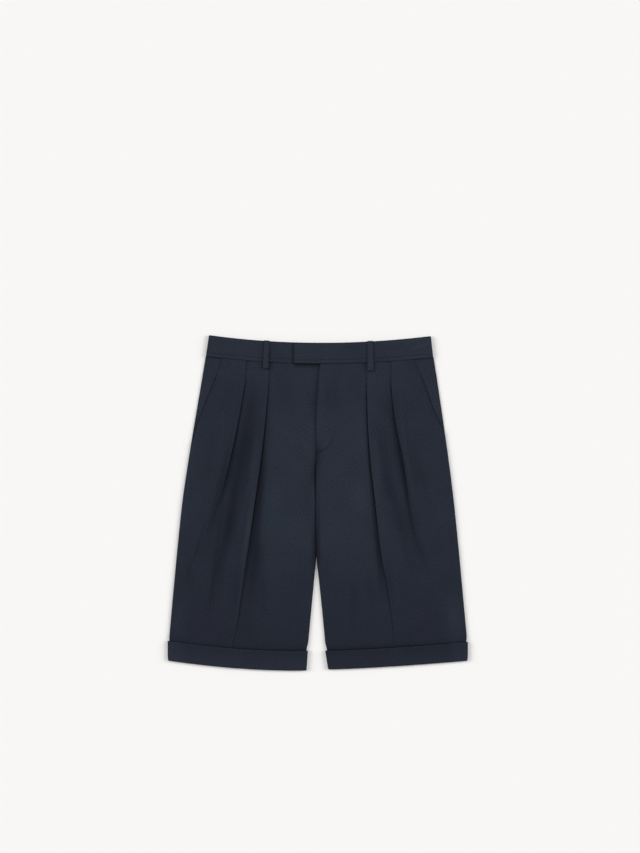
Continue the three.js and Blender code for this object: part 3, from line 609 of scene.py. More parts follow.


# Painted light and shade of a front: painted shade towards the hem, the waist and the sides, and painted
# shadows along its edges, seams and sewing.
def cloth_shade(side, out, y):
    x = SIGN[side] * out
    shade = fold_heights(SHADE_STROKES[side], out, y)
    for place in ("lower leg", "above the hem", "upper front"):
        shade = shade + change(place, y)
    shade = shade + change("side", out) * (1 - change("lower side", y))
    below_band = waist_line(BAND_SEAM, x) - y
    shade = shade + shadow("under the band", below_band)
    tab = shadow("below the tab", np.maximum(below_band - TAB_SHADOW_DEEP, 0))
    tab = tab + shadow("under the tab", below_band)
    shade = shade + change("tab's end", x - TAB_END) * change("tab's root", x) * tab
    above = np.maximum(y - hem_line(side, out) - TURN_UP_DEEP[side], 0)
    line = TURN_UP_LINE[side] * (1 - change("turn-up line", out))
    shade = shade + line * (shadow("above the turn-up", above) + shadow("near the turn-up", above))
    shade = shade + loop_shadow(side, x, y)
    beside = x - read(CENTRE, "x", y) - change("centre line's shift", y)
    shade = shade + read(CENTRE_SEAM_SHADOW, "core", y) * fade(beside, CORE_WIDE)
    shade = shade + read(CENTRE_SEAM_SHADOW, "soft", y) * fade(beside - SOFT_START, SOFT_WIDE) * (beside > 0)
    if side == "right":
        shade = shade + along_fly(x, y, FLY_SEWING_SHADOW)
    return shade


print("shade of the cloth at the thigh:", round(float(cloth_shade("left", 60.0, 0.0)), 2))

# %% [markdown]
# One row of a front is drawn like a ribbon seen end on: along the lower layer, round two bends for each
# pleat, and out to the side. The bends are true arcs, so a pressed pleat has three layers and an open one
# melts into a crease. Each point of a row also carries its painted shade: the painted shadow beside a
# pleat lies on the lower layer, starts EDGE_DARK away from the edge above it and fades over EDGE_FADE.

# %% A pleat's two bends
ARC_STEPS = 8
LAP_COLUMNS = 4
CURL_STEPS = 6
EDGE_DARK = 0.8
EDGE_FADE = 1.8
OVER_FADE = 1.5


def pleat_bends(side, y, table):
    radius = float(read(table, "round", y))
    turn = math.radians(float(read(table, "turn", y)))
    lap, edge = float(read(table, "lap", y)), float(read(table, "at", y))
    run = 2 * radius * math.sin(turn) + lap * math.cos(turn)
    rise = 2 * radius * (1 - math.cos(turn)) + lap * math.sin(turn)
    overhang = run - radius if turn > math.pi / 2 else run / 2
    sunk = float(front_level(side, edge, y)) - SHARE_BELOW * rise - float(read(table, "sink", y))
    floor = LOWEST_FRONT + float(back_lift(side, edge, y))
    start = np.array([edge - overhang, max(sunk, floor)])
    a = np.linspace(0, turn, ARC_STEPS + 1)
    up = start + radius * np.stack([np.sin(a), 1 - np.cos(a)], 1)
    back = up[-1] + lap * np.array([math.cos(turn), math.sin(turn)])
    lay = np.linspace(0, 1, LAP_COLUMNS + 2)[1:-1, None] * (back - up[-1]) + up[-1]
    centre = back + radius * np.array([math.sin(turn), -math.cos(turn)])
    over = centre + radius * np.stack([-np.sin(a[::-1]), np.cos(a)[::-1]], 1)
    points = np.concatenate([up, lay, over])
    flat_to = max(start[0] + radius * math.sin(turn), over[-1, 0]) + PLEAT_MARGIN
    flat_from = min(edge, start[0]) - PLEAT_MARGIN
    visible_edge = min(over[:, 0].min(), start[0]) if turn > math.pi / 2 else start[0] + run / 2
    return {"points": points, "from": flat_from, "to": flat_to, "low": start[1],
            "high": over[-1, 1], "edge": visible_edge}


def edge_line(outs, pleat):
    """Painted shadow on the lower layer, close to the edge of the pleat that lies on it."""
    beyond = np.maximum(pleat["edge"] - EDGE_DARK - outs, 0)
    return pleat["line"] * fade(beyond, EDGE_FADE)


# Painted shade round a pleat's bends: whole on the lower bend and the lap, fading round the upper bend;
# below zero it is a painted highlight.
def bend_line(pleat):
    over = 1 - smooth(np.linspace(0, OVER_FADE, ARC_STEPS + 1))
    return pleat["line"] * np.concatenate([np.ones(ARC_STEPS + 1 + LAP_COLUMNS), over])


def curl(edge, way, level, drop, share):
    """A free edge turned down by a share of the full curl, from its flat point outwards."""
    radius = max(drop, CURL_RADIUS)
    angle = math.acos(1 - drop / radius) * share
    a = np.linspace(0, angle, CURL_STEPS + 1)
    flat = edge - way * radius * math.sin(angle)
    return np.stack([flat + way * radius * np.sin(a), level - radius * (1 - np.cos(a))], 1)


print("bends at the waist:", INNER_PLEAT["left"]["round"][0], "mm in radius")

# %% A whole row across a front
FLY_COLUMNS = 28
BODY_COLUMNS = 24
PLEAT_COLUMNS = 20
SIDE_COLUMNS = 28
FLY_STITCH_REACH = 42
# Painted shade along the edges that turn down out of sight.
RIM_PAINTED_SHADE = 0.15
EDGE_READ = 2
FREE_TURN = {"inner": 0.16, "outer": 0.12}
INSEAM_TURN = (CROTCH + 6, -30)
CLOSER = {"before": 0.9, "between": 0.8}


def front_section(side, row):
    inner, inner_y = crossing(side, row, lambda y: inner_edge(side, y, True))
    outer, outer_y = crossing(side, row, lambda y: front_outer_edge(side, y))
    pleats = []
    for pleat, line in zip(PLEATS, ("inner", "outer")):
        table = pleat[side]
        y = crossing(side, row, lambda h, table=table: read(table, "at", h))[1]
        bends = pleat_bends(side, y, table)
        bends["line"] = float(read(EDGE_LINE[side], line, y))
        pleats.append(bends)
    first, second = pleats
    turned_in = float(eased(inner_y, *INSEAM_TURN))
    turned_out = float(eased(outer_y, SLANT_BOTTOM[side], -SLANT_BLEND))
    inner_share = FREE_TURN["inner"] + (1 - FREE_TURN["inner"]) * turned_in
    outer_share = FREE_TURN["outer"] + (1 - FREE_TURN["outer"]) * turned_out
    inner_level = float(front_level(side, inner + EDGE_READ, inner_y))
    outer_level = float(front_level(side, outer - EDGE_READ, outer_y))
    rest = CLOTH + EDGE_GAP
    inner_curl = curl(inner + CLOTH / 2 * inner_share, -1, inner_level,
                      inner_level - rest - float(back_lift(side, inner, inner_y)), inner_share)[::-1]
    outer_curl = curl(outer - CLOTH / 2 * outer_share, 1, outer_level,
                      outer_level - rest - float(back_lift(side, outer, outer_y)), outer_share)

    start, end = inner_curl[-1, 0], outer_curl[0, 0]
    gaps = (first["from"] - start, second["from"] - first["to"], end - second["to"])
    ramps_in = [min(RAMP_ROOM * gap, RAMP_IN) for gap in gaps[:2]]
    ramps_out = [min(RAMP_ROOM * gap, RAMP_OUT) for gap in gaps[1:]]

    def flat_run(outs, next_pleat=None):
        y = row_y(side, outs, row)
        z = front_level(side, outs, y)
        for pleat, ramp_in, ramp_out in zip(pleats, ramps_in, ramps_out):
            level = front_level(side, pleat["to"], y)
            lower = (pleat["low"] - z) * smooth((outs - pleat["from"]) / ramp_in + 1)
            upper = (pleat["high"] - level) * (1 - smooth((outs - pleat["to"]) / ramp_out))
            z = z + np.where(outs < pleat["points"][0, 0], lower, upper)
        dark = edge_line(outs, next_pleat) if next_pleat else 0 * outs
        return np.stack([outs, z, dark], 1)

    def turned(points, share):
        dark = RIM_PAINTED_SHADE * share * np.linspace(0, 1, len(points)) ** 2
        return np.column_stack([points, dark])

    def spread(a, b, count, at_start=0.0, at_end=0.0):
        """Columns from a to b, closer together at the ends that ask for it."""
        s = np.linspace(0, 1, count + 2)[1:-1]
        s = s + at_start * (s * s - s) * (1 - s) + at_end * (s - s * s) * s
        return a + (b - a) * s

    half = PLEAT_MARGIN / 2
    fly_side = min(start + FLY_STITCH_REACH, first["from"] - RAMP_IN)
    after = [max(p["to"], p["points"][-1, 0] + half) - half for p in pleats]
    return np.concatenate([
        turned(inner_curl[::-1], inner_share)[::-1],
        flat_run(spread(start, fly_side, FLY_COLUMNS)),
        flat_run(spread(fly_side, first["from"], BODY_COLUMNS, at_end=CLOSER["before"]), first),
        [[first["from"], first["low"], first["line"]]],
        np.column_stack([first["points"], bend_line(first)]),
        flat_run(spread(after[0], second["from"], PLEAT_COLUMNS, CLOSER["between"],
                        CLOSER["between"]), second),
        [[second["from"], second["low"], second["line"]]],
        np.column_stack([second["points"], bend_line(second)]),
        flat_run(spread(after[1], end, SIDE_COLUMNS, at_start=CLOSER["between"])),
        turned(outer_curl, outer_share),
    ])


print("points across a front:", len(front_section("left", 0.3)))

# %% [markdown]
# A wall of cloth is the middle surface moved half its thickness to each side and closed round its
# edge with a rounded lip. `wall` does that for any grid of points, flat or joined into a ring, and
# gives it a UV map measured in metres along the cloth, so that the weave follows every fold. The
# same map tells the cloth's flat size, which `wall` notes under the piece's name.

# %% Cloth walls
LIP_BULGE = 0.42
SHARP = math.radians(50)
flat_size = {}


def unit(v):
    return v / np.maximum(np.linalg.norm(v, axis=-1, keepdims=True), 1e-9)


def grid_normals(grid, ring):
    steps = unit(grid[1:] - grid[:-1])
    along = np.zeros_like(grid)
    along[1:] += steps
    along[:-1] += steps
    across = np.zeros_like(grid)
    if ring:
        steps = unit(np.roll(grid, -1, 1) - grid)
        across = steps + np.roll(steps, 1, 1)
    else:
        steps = unit(grid[:, 1:] - grid[:, :-1])
        across[:, 1:] += steps
        across[:, :-1] += steps
    return unit(np.cross(along, across))


def cloth_uv(grid, ring, zero_column=0):
    full = np.concatenate([grid, grid[:, :1]], 1) if ring else grid
    u = np.zeros(full.shape[:2])
    u[:, 1:] = np.cumsum(np.linalg.norm(full[:, 1:] - full[:, :-1], axis=2), 1)
    u -= u[:, zero_column:zero_column + 1]
    v = np.zeros(full.shape[:2])
    v[1:] = -np.cumsum(np.linalg.norm(full[1:] - full[:-1], axis=2), 0)
    return np.stack([u, v], 2) * MM


def wall(name, grid, thickness, material, ring=False, zero_column=0, shade=None):
    rows, columns = grid.shape[:2]
    normals = grid_normals(grid, ring)
    uv = cloth_uv(grid, ring, zero_column)
    flat_size[name] = (float((uv[:, -1, 0] - uv[:, 0, 0]).max()), float(-uv[..., 1].min()))
    wide = uv.shape[1]
    i, j = np.meshgrid(np.arange(rows - 1), np.arange(wide - 1), indexing="ij")
    i, j = i.ravel(), j.ravel()
    corners = [(i, j), (i + 1, j), (i + 1, j + 1), (i, j + 1)]
    face = np.stack([a * columns + b % columns for a, b in corners], 1)
    face_uv = np.stack([a * wide + b for a, b in corners], 1)
    first = [(0, c) for c in range(wide)]
    last = [(rows - 1, c) for c in range(wide)]
    if ring:
        edges = [first[::-1], last]
    else:
        down = [(r, wide - 1) for r in range(1, rows - 1)]
        up = [(r, 0) for r in range(rows - 2, 0, -1)]
        loop = first + down + last[::-1] + up
        edges = [loop[::-1] + [loop[-1]]]
    points = [grid + normals * thickness / 2, grid - normals * thickness / 2]
    points = [p.reshape(-1, 3) for p in points]
    faces, face_uvs = [face, face[:, ::-1] + rows * columns], [face_uv, face_uv[:, ::-1]]
    shade = np.zeros((rows, columns)) if shade is None else shade
    shades = [shade.ravel(), shade.ravel()]
    base = 2 * rows * columns
    for edge in edges:
        r, c = np.array(edge).T
        inward_r = np.where(r == 0, 1, np.where(r == rows - 1, -1, 0))
        inward_c = 0 if ring else np.where(c == 0, 1, np.where(c == wide - 1, -1, 0))
        here = grid[r, c % columns]
        out = unit(here - grid[r + inward_r, (c + inward_c) % columns])
        rim = here + out * thickness * LIP_BULGE
        count = len(edge) - 1
        a = np.arange(count)
        mid, mid_next = base + a, base + (a + 1) % count
        top = r * columns + c % columns
        top_uv = r * wide + c
        low = top + rows * columns
        faces += [np.stack([top[:-1], top[1:], mid_next, mid], 1),
                  np.stack([mid, mid_next, low[1:], low[:-1]], 1)]
        strip_uv = np.stack([top_uv[:-1], top_uv[1:], top_uv[1:], top_uv[:-1]], 1)
        face_uvs += [strip_uv, strip_uv]
        points.append(rim[:count])
        shades.append(shade[r, c % columns][:count])
        base += count
    return cloth_mesh(name, np.concatenate(points), np.concatenate(faces),
                      uv.reshape(-1, 2)[np.concatenate(face_uvs)], np.concatenate(shades), material)


def cloth_mesh(name, points, faces, uvs, shades, material):
    corner = points[faces]
    volume = sum(
        np.einsum("ij,ij->i", corner[:, 0], np.cross(corner[:, k], corner[:, k + 1])).sum() / 6
        for k in (1, 2)
    )
    if volume < 0:
        faces, uvs = faces[:, ::-1], uvs[:, ::-1]
    mesh = bpy.data.meshes.new(name)
    mesh.from_pydata((points * MM).tolist(), [], faces.tolist())
    layer = mesh.uv_layers.new(name="cloth")
    layer.data.foreach_set("uv", np.ascontiguousarray(uvs, dtype=np.float32).ravel())
    mark = mesh.attributes.new("shade", "FLOAT", "POINT")
    mark.data.foreach_set("value", shades.astype(np.float32))
    mesh.shade_smooth()
    mesh.set_sharp_from_angle(angle=SHARP)
    mesh.materials.append(material)
    return put(name, mesh)


# %% [markdown]
# The cloth is a matt navy suiting in a fine twill. Its colour isn't even: dyed yarns differ a
# little, and pressing leaves faint lighter and darker areas. One node group makes the twill's
# height, a fine speckle, soft clouds and a slow change of cast, and each material weighs them
# with its own values.

# %% Shader group: suiting weave
WEAVE_SIZES = {"Yarns per Metre": 1700.0, "Speckle Scale": 380.0, "Cloud Scale": 22.0, "Cast Scale": 8.0}
WEAVE_NOISES = {"Speckle": (3.0, 0.7), "Cloud": (2.0, 0.5), "Cast": (1.0, 0.5)}
TWILL_LEAN = 0.5
YARN_RIB = 0.45


def feed(tree, socket, value):
    """Gives a socket a number, a colour, or a link from another socket."""
    if isinstance(value, tuple):
        socket.default_value = (*value, 1.0)
    elif isinstance(value, (int, float)):
        socket.default_value = value
    else:
        tree.links.new(value, socket)


def math_node(tree, operation, *values, clamp=False):
    node = tree.nodes.new("ShaderNodeMath")
    node.operation = operation
    node.use_clamp = clamp
    for socket, value in zip(node.inputs, values):
        feed(tree, socket, value)
    return node.outputs[0]


def noise_node(tree, vector, scale, detail, roughness):
    node = tree.nodes.new("ShaderNodeTexNoise")
    values = {"Vector": vector, "Scale": scale, "Detail": detail, "Roughness": roughness}
    for label, value in values.items():
        feed(tree, node.inputs[label], value)
    return node.outputs["Fac"]


def weave_group():
    group = bpy.data.node_groups.new("suiting_weave", "ShaderNodeTree")
    group.interface.new_socket(name="Vector", in_out="INPUT", socket_type="NodeSocketVector")
    for label, value in WEAVE_SIZES.items():
        socket = group.interface.new_socket(name=label, in_out="INPUT", socket_type="NodeSocketFloat")
        socket.default_value = value
    for label in ("Height", *WEAVE_NOISES):
        group.interface.new_socket(name=label, in_out="OUTPUT", socket_type="NodeSocketFloat")
    source, result = group.nodes.new("NodeGroupInput"), group.nodes.new("NodeGroupOutput")
    split = group.nodes.new("ShaderNodeSeparateXYZ")
    group.links.new(source.outputs["Vector"], split.inputs[0])
    u = math_node(group, "MULTIPLY", split.outputs["X"], source.outputs["Yarns per Metre"])
    v = math_node(group, "MULTIPLY", split.outputs["Y"], source.outputs["Yarns per Metre"])
    diagonal = math_node(group, "ADD", u, math_node(group, "MULTIPLY", v, TWILL_LEAN))
    twill = math_node(group, "SINE", math_node(group, "MULTIPLY", diagonal, 2 * math.pi))
    yarn = math_node(group, "SINE", math_node(group, "MULTIPLY", v, 2 * math.pi))
    height = math_node(group, "ADD", twill, math_node(group, "MULTIPLY", yarn, YARN_RIB))
    group.links.new(height, result.inputs["Height"])
    for label, values in WEAVE_NOISES.items():
        noise = noise_node(group, source.outputs["Vector"], source.outputs[f"{label} Scale"], *values)
        group.links.new(noise, result.inputs[label])
    return group


WEAVE = weave_group()
print("weave group sockets:", [s.name for s in WEAVE.interface.items_tree])

# %% [markdown]
# The painted shade on each point picks the colour: from a navy under painted light through a navy under
# painted shade to near black in a painted shadow. The weave's masks then make it uneven, and its cast
# leans it towards teal or plum.
# Plain values such as the roughness sit on the shader's own sockets.

# %% Cloth material
# Painted light and shade: the first colour is the navy under a painted highlight, the second under painted
# shade, the third in a painted shadow.
PAINTED_LIGHT_NAVY = (0.0206, 0.0278, 0.0432)
PAINTED_SHADE_NAVY = (0.0074, 0.0100, 0.0184)
SHADOW = (0.0009, 0.0017, 0.0030)
LIGHTEST = 0.6
SHADE_RANGE = 1.7
SHADOW_RANGE = 0.9
TEAL_CAST = (0.97, 1.0, 0.99)
PLUM_CAST = (1.08, 0.985, 1.01)
CAST_CONTRAST = 3.0
SPECKLE_DEEP = 1.8
CLOUD_DEEP = 0.3
TWILL_HIGH = 0.0001
TWILL_STRENGTH = 0.4
MATT = {"Roughness": 0.88, "Specular IOR Level": 0.16, "Sheen Roughness": 0.5,
        "Sheen Tint": (0.62, 0.68, 0.85)}


def new_material(name, values):
    """A material with plain values on its shader's own sockets, its node tree and its shader."""
    material = bpy.data.materials.new(name)
    material.use_nodes = True
    shader = material.node_tree.nodes["Principled BSDF"]
    for label, value in values.items():
        feed(material.node_tree, shader.inputs[label], value)
    return material, material.node_tree, shader


def rgb_mix(tree, factor, a, b, blend="MIX"):
    node = tree.nodes.new("ShaderNodeMix")
    node.data_type = "RGBA"
    node.blend_type = blend
    for index, value in ((0, factor), (6, a), (7, b)):
        feed(tree, node.inputs[index], value)
    return node.outputs[2]


def around(tree, value, deep, clamp=False):
    """Stretches a mask so that it varies by the given depth around its middle."""
    middle = 0.5 if clamp else 1
    return math_node(tree, "MULTIPLY_ADD", value, deep, middle - deep / 2, clamp=clamp)


def suiting(name, sheen):
    material, tree, shader = new_material(name, {**MATT, "Sheen Weight": sheen})
    uv = tree.nodes.new("ShaderNodeUVMap")
    uv.uv_map = "cloth"
    weave = tree.nodes.new("ShaderNodeGroup")
    weave.node_tree = WEAVE
    tree.links.new(uv.outputs["UV"], weave.inputs["Vector"])
    # The shade attribute carries each piece's painted light and shade.
    mark = tree.nodes.new("ShaderNodeAttribute")
    mark.attribute_name = "shade"
    shade = mark.outputs["Fac"]
    depth = math_node(tree, "MULTIPLY_ADD", shade, 1 / SHADE_RANGE, LIGHTEST / SHADE_RANGE, clamp=True)
    darkest = math_node(tree, "MULTIPLY_ADD", shade, 1 / SHADOW_RANGE,
                        (LIGHTEST - SHADE_RANGE) / SHADOW_RANGE, clamp=True)
    colour = rgb_mix(tree, darkest, rgb_mix(tree, depth, PAINTED_LIGHT_NAVY, PAINTED_SHADE_NAVY), SHADOW)
    cast = around(tree, weave.outputs["Cast"], CAST_CONTRAST, clamp=True)
    colour = rgb_mix(tree, 1.0, colour, rgb_mix(tree, cast, TEAL_CAST, PLUM_CAST), "MULTIPLY")
    uneven = math_node(tree, "MULTIPLY", around(tree, weave.outputs["Speckle"], SPECKLE_DEEP),
                       around(tree, weave.outputs["Cloud"], CLOUD_DEEP))
    tree.links.new(rgb_mix(tree, 1.0, colour, uneven, "MULTIPLY"), shader.inputs["Base Color"])
    bump = tree.nodes.new("ShaderNodeBump")
    bump.inputs["Strength"].default_value = TWILL_STRENGTH
    bump.inputs["Distance"].default_value = TWILL_HIGH
    tree.links.new(weave.outputs["Height"], bump.inputs["Height"])
    tree.links.new(bump.outputs["Normal"], shader.inputs["Normal"])
    return material


SUITING = suiting("navy_suiting", sheen=0.06)
BAND_SUITING = suiting("navy_suiting_band", sheen=0.1)
print("cloth materials:", SUITING.name, BAND_SUITING.name)

# %% [markdown]
# The fronts come first, because everything else lies on them or beside them. Each is one grid of
# rows, close enough that the pleats' edges stay crisp. The fly's curved stitching pulls a
# shallow channel into the right front, so the rows are lowered a little along it.

# %% Fronts
ROW_BANDS = [(0, 0.012, 9), (0.012, 0.93, 200), (0.93, 0.956, 24), (0.956, 1, 8)]
FRONT_ROWS = np.unique(np.concatenate([np.linspace(*band) for band in ROW_BANDS]))
FLY_CHANNEL = {"top": 0.12, "foot": (138, -40, 0.45), "wide": 1.5}


def laid(side, row, section):
    """A row's points in space, from their places across the leg and their heights."""
    out, level = section[:, 0], section[:, 1]
    return np.stack([SIGN[side] * out, row_y(side, out, row), level], 1)


def front_panel(side):
    sections = [front_section(side, row) for row in FRONT_ROWS]
    grid = np.array([laid(side, row, section) for row, section in zip(FRONT_ROWS, sections)])
    if side == "right":
        near = grid[:, :CURL_STEPS + FLY_COLUMNS + BODY_COLUMNS // 2]
        near[..., 2] -= along_fly(near[..., 0], near[..., 1], FLY_CHANNEL)
    lines_shade = np.array([section[:, 2] for section in sections])
    shade = cloth_shade(side, SIGN[side] * grid[..., 0], grid[..., 1]) + lines_shade
    crease = CURL_STEPS + 1 + FLY_COLUMNS + BODY_COLUMNS + 1 + 2 * ARC_STEPS
    return wall(f"front_{side}", grid, FINE_CLOTH, SUITING, zero_column=crease, shade=shade)


fronts = {side: front_panel(side) for side in SIGN}
for panel in fronts.values():
    print(panel.name, "faces:", len(panel.data.polygons))

# %% [markdown]
# The backs are plain: one wall each, flat on the table, lifted at the hem where the turn-up's back wall
# passes under them. The facings are the slips of the same cloth that show behind the slanted pocket
# mouths; they lie one layer below the fronts and turn down at the side seam. The front's edge leaves a
# painted shadow on the facing, but only below the tack that closes the mouth's top; above it the mouth's
# edge and the whole facing are painted a little lighter, with painted shade at the top of the facing and
# along its turned edge.

# %% Backs and pocket facings
BACK_ROWS = 111
BACK_COLUMNS = 24
FACING_MIDDLE = 215
FACING_BELOW_SLANT = 4
FACING_ROWS = 48
FACING_COLUMNS = 24
# Painted light: how much lighter the mouth's edge is painted above its tack, and the whole facing.
MOUTH_PAINTED_LIGHT = 0.15
MOUTH_EDGE = 0.6
FACING_PAINTED_LIGHT = 0.05
RIM_WIDE = 1.5


def back_panel(side):
    lines = []
    for row in np.linspace(0, 1, BACK_ROWS):
        inner = crossing(side, row, lambda y: inner_edge(side, y, False))[0]
        outer = crossing(side, row, lambda y: read(SIDE, side, y))[0]
        outs = np.linspace(inner, outer, BACK_COLUMNS)
        level = BACK_LEVEL + back_lift(side, outs, row_y(side, outs, row))
        lines.append(laid(side, row, np.stack([outs, level], 1)))
    return wall(f"back_{side}", np.array(lines), CLOTH, SUITING)


def pocket_facing(side):
    top, lip = row_y(side, FACING_MIDDLE, 0), row_y(side, FACING_MIDDLE, 1)
    bottom = SLANT_BOTTOM[side] + FACING_BELOW_SLANT
    lines, shade = [], []
    for row in np.linspace(0, (top - bottom) / (top - lip), FACING_ROWS):
        mouth = crossing(side, row, lambda y: front_outer_edge(side, y))[0]
        seam = crossing(side, row, lambda y: read(SIDE, side, y))[0]
        turned = curl(seam - CLOTH / 2, 1, FACING_LEVEL, FACING_LEVEL - CLOTH - EDGE_GAP, 1)
        outs = np.linspace(mouth - FACING_TUCK, turned[0, 0], FACING_COLUMNS + 1)[:-1]
        flat = np.stack([outs, np.full(FACING_COLUMNS, FACING_LEVEL)], 1)
        section = np.concatenate([flat, turned])
        lines.append(laid(side, row, section))
        y, beside = row_y(side, mouth, row), section[:, 0] - mouth
        dark = shadow("inside the pocket mouth", np.maximum(beside - MOUTH_EDGE, 0))
        dark = dark + shadow("behind the pocket mouth", beside)
        rim = RIM_PAINTED_SHADE * smooth((section[:, 0] - section[-1, 0] + RIM_WIDE) / RIM_WIDE)
        opened = change("mouth's tack", y) - MOUTH_PAINTED_LIGHT
        shade.append(change("top of the facing", y) - FACING_PAINTED_LIGHT + opened * dark + rim)
    return wall(f"facing_{side}", np.array(lines), FINE_CLOTH, SUITING, shade=np.array(shade))


backs = {side: back_panel(side) for side in SIGN}
facings = {side: pocket_facing(side) for side in SIGN}
print("back faces:", len(backs["left"].data.polygons))

# %% [markdown]
# A turn-up is a ring: the leg's cloth comes down inside, folds at the hem and stands up again outside. We
# draw the ring's section once for each height, walk it down the outer wall, round the bottom fold and a
# little way up inside, and close it on itself. Its colour is painted shade, with a painted highlight along
# its top edge and painted shade at the bottom fold, and it is painted lighter towards the hem and the side
# seam.

# %% Turn-ups
TURN_UP_STEPS = 18
TURN_UP_WALL_END = 0.9
TURN_UP_READ = 150
TURN_UP_COLUMNS = {"front": 72, "back": 26}
RING_START = 12
FOLD_STEPS = 8
CAP_STEPS = 12
TURN_UP_SHADE = {"left": 0.66, "right": 0.84}


def turn_up_top(side, out, y):
    level = np.full(len(out), FRONT_LEVEL + LAYER + TURN_UP_CLEAR)
    for pleat in PLEATS:
        bends = pleat_bends(side, y, pleat[side])
        middle = bends["points"][ARC_STEPS + LAP_COLUMNS + 1, 0]
        rise = bends["high"] - FRONT_LEVEL
        near = np.where(out < middle, (middle - out) / RAMP_IN, (out - middle) / RAMP_OUT)
        level = level + rise * (1 - smooth(near))
    return level


def round_edge(edge, way, radius, low):
    """A half round from the front wall to the back wall, at the edge that points out or in."""
    a = np.linspace(0, np.pi, CAP_STEPS + 1)
    return np.stack([edge - way * radius + way * radius * np.sin(a), low + radius + radius * np.cos(a)], 1)


def turn_up_ring(side, down):
    top_inner, bottom_inner = TURN_UP_INNER[side]
    start = top_inner + (bottom_inner - top_inner) * down + CLOTH / 2
    end = TURN_UP_REACH[side] - CLOTH / 2 - float(eased(down, *TURN_UP_TAPER))
    crease_y = float(hem_line(side, TURN_UP_READ)) + max(TURN_UP_DEEP[side] * (1 - down), LIP)

    def cap(edge, way):
        top = float(turn_up_top(side, np.array([edge - way * EDGE_READ]), crease_y)[0])
        return round_edge(edge, way, (top - BACK_LEVEL) / 2, BACK_LEVEL)

    outer_cap, inner_cap = cap(end, 1), cap(start, -1)[::-1]
    front = np.linspace(inner_cap[-1, 0], outer_cap[0, 0], TURN_UP_COLUMNS["front"])[1:-1]
    back = np.linspace(outer_cap[-1, 0], inner_cap[0, 0], TURN_UP_COLUMNS["back"])[1:-1]
    front_points = np.stack([front, turn_up_top(side, front, crease_y)], 1)
    back_points = np.stack([back, np.full(len(back), BACK_LEVEL)], 1)
    return np.concatenate([back_points[RING_START:], inner_cap, front_points, outer_cap,
                           back_points[:RING_START]])


def turn_up(side):
    radius = LAYER / 2

    def place(ring, inset, rise):
        tangent = np.roll(ring, -1, 0) - np.roll(ring, 1, 0)
        normal = unit(np.stack([-tangent[:, 1], tangent[:, 0]], 1))
        moved = ring - normal * inset
        y = hem_line(side, moved[:, 0]) + rise
        return np.stack([SIGN[side] * moved[:, 0], y, moved[:, 1]], 1)

    lines = [place(turn_up_ring(side, d), 0, TURN_UP_DEEP[side] * (1 - d))
             for d in np.linspace(0, TURN_UP_WALL_END, TURN_UP_STEPS)]
    bottom = turn_up_ring(side, 1)
    for a in np.linspace(0, np.pi, FOLD_STEPS + 1):
        lines.append(place(bottom, radius * (1 - math.cos(a)),
                           CLOTH / 2 + radius * (1 - math.sin(a))))
    lines.append(place(bottom, LAYER, (LIP + CLOTH) / 2))
    lines.append(place(bottom, LAYER, LIP))
    grid = np.array(lines)
    out = SIGN[side] * grid[..., 0]
    below_top = hem_line(side, out) + TURN_UP_DEEP[side] - grid[..., 1]
    # Painted light and shade of the turn-up: painted shade over it, a painted highlight along its top
    # edge, painted shade at its bottom fold and painted light towards the hem and the side seam.
    shade = TURN_UP_SHADE[side] - change("face of the turn-up", below_top)
    shade = shade + shadow("top of the turn-up", below_top)
    shade = shade + change("foot of the turn-up", below_top - TURN_UP_DEEP[side])
    shade = shade - change("side of the turn-up", out)
    return wall(f"turn_up_{side}_cloth", grid, FINE_CLOTH, SUITING, ring=True, shade=shade)


turn_ups = {side: turn_up(side) for side in SIGN}
print("turn-up faces:", len(turn_ups["left"].data.polygons))

# %% [markdown]
# The waistband is two layers of cloth with a stiff strip between them, so it is thicker and
# flatter than the rest. Each half runs from the front round the side to the middle of the back.
# The right half ends in a square tab that laps over the left. Its lower edge is sewn down 6 mm above the
# seam, and that stitching pulls a shallow channel into it. Its colour carries painted light and shade.
# BAND_PAINTED_CREASES are painted highlights and shadows of small creases, strokes along the band in the
# columns of the folds but read sideways, and BAND_SHADES are painted shade across it: where along the
# band, how wide and how much darker.

# %% Waistband
BAND_STITCH_UP = 6.0
BAND_ROWS = 53
BAND_FRONT_COLUMNS = 110
BAND_BACK_COLUMNS = 26
BAND_SIDE = {"top": 303, "deep": 34.5}
BAND_SPREAD = 0.4
BAND_PUFF = {"high": 0.35, "power": 0.6}
BAND_CHANNEL = {"deep": 0.65, "wide": 1.2}
CENTRE_BACK_Y = 60
TAB_STITCH_X = 3.4
BAND_PLAIN = 0.08
BAND_ROLL = 2.4
# Painted shade across the band, and painted highlights and shadows of small creases along it.
BAND_SHADES = {
    "left": [(-75, 30, 0.2), (TAB_END - 1, 1.6, 0.6), (TAB_END - 3, 6, 0.25)],
    "right": [(TAB_END, 1.0, 0.4), (78, 12, 0.2), (112, 9, 0.15), (185, 26, -0.25)],
}
BAND_PAINTED_CREASES = {
    "left": [(140, 284, 282, 106, 281, 2, 0.25)],
    "right": [
        (204, 290, 284.5, 166, 276, 1.4, -0.6),
        (196, 283, 281, 162, 279, 1.2, -0.35),
        (170, 280, 281, 100, 283, 2, 0.35),
        (86, 284, 283, 40, 282, 6, 0.2),
    ],
}


def band_level(side, x):
    if side == "left":
        dip = smooth((x - BAND_DIP_START) / (BAND_DIP_END - BAND_DIP_START))
        return BAND_FRONT_LEVEL + (BAND_END_LEVEL - BAND_FRONT_LEVEL) * dip
    down = smooth((x - TAB_FLAT_END) / (TAB_SLOPE_END - TAB_FLAT_END))
    return TAB_LEVEL + (BAND_FRONT_LEVEL - TAB_LEVEL) * down


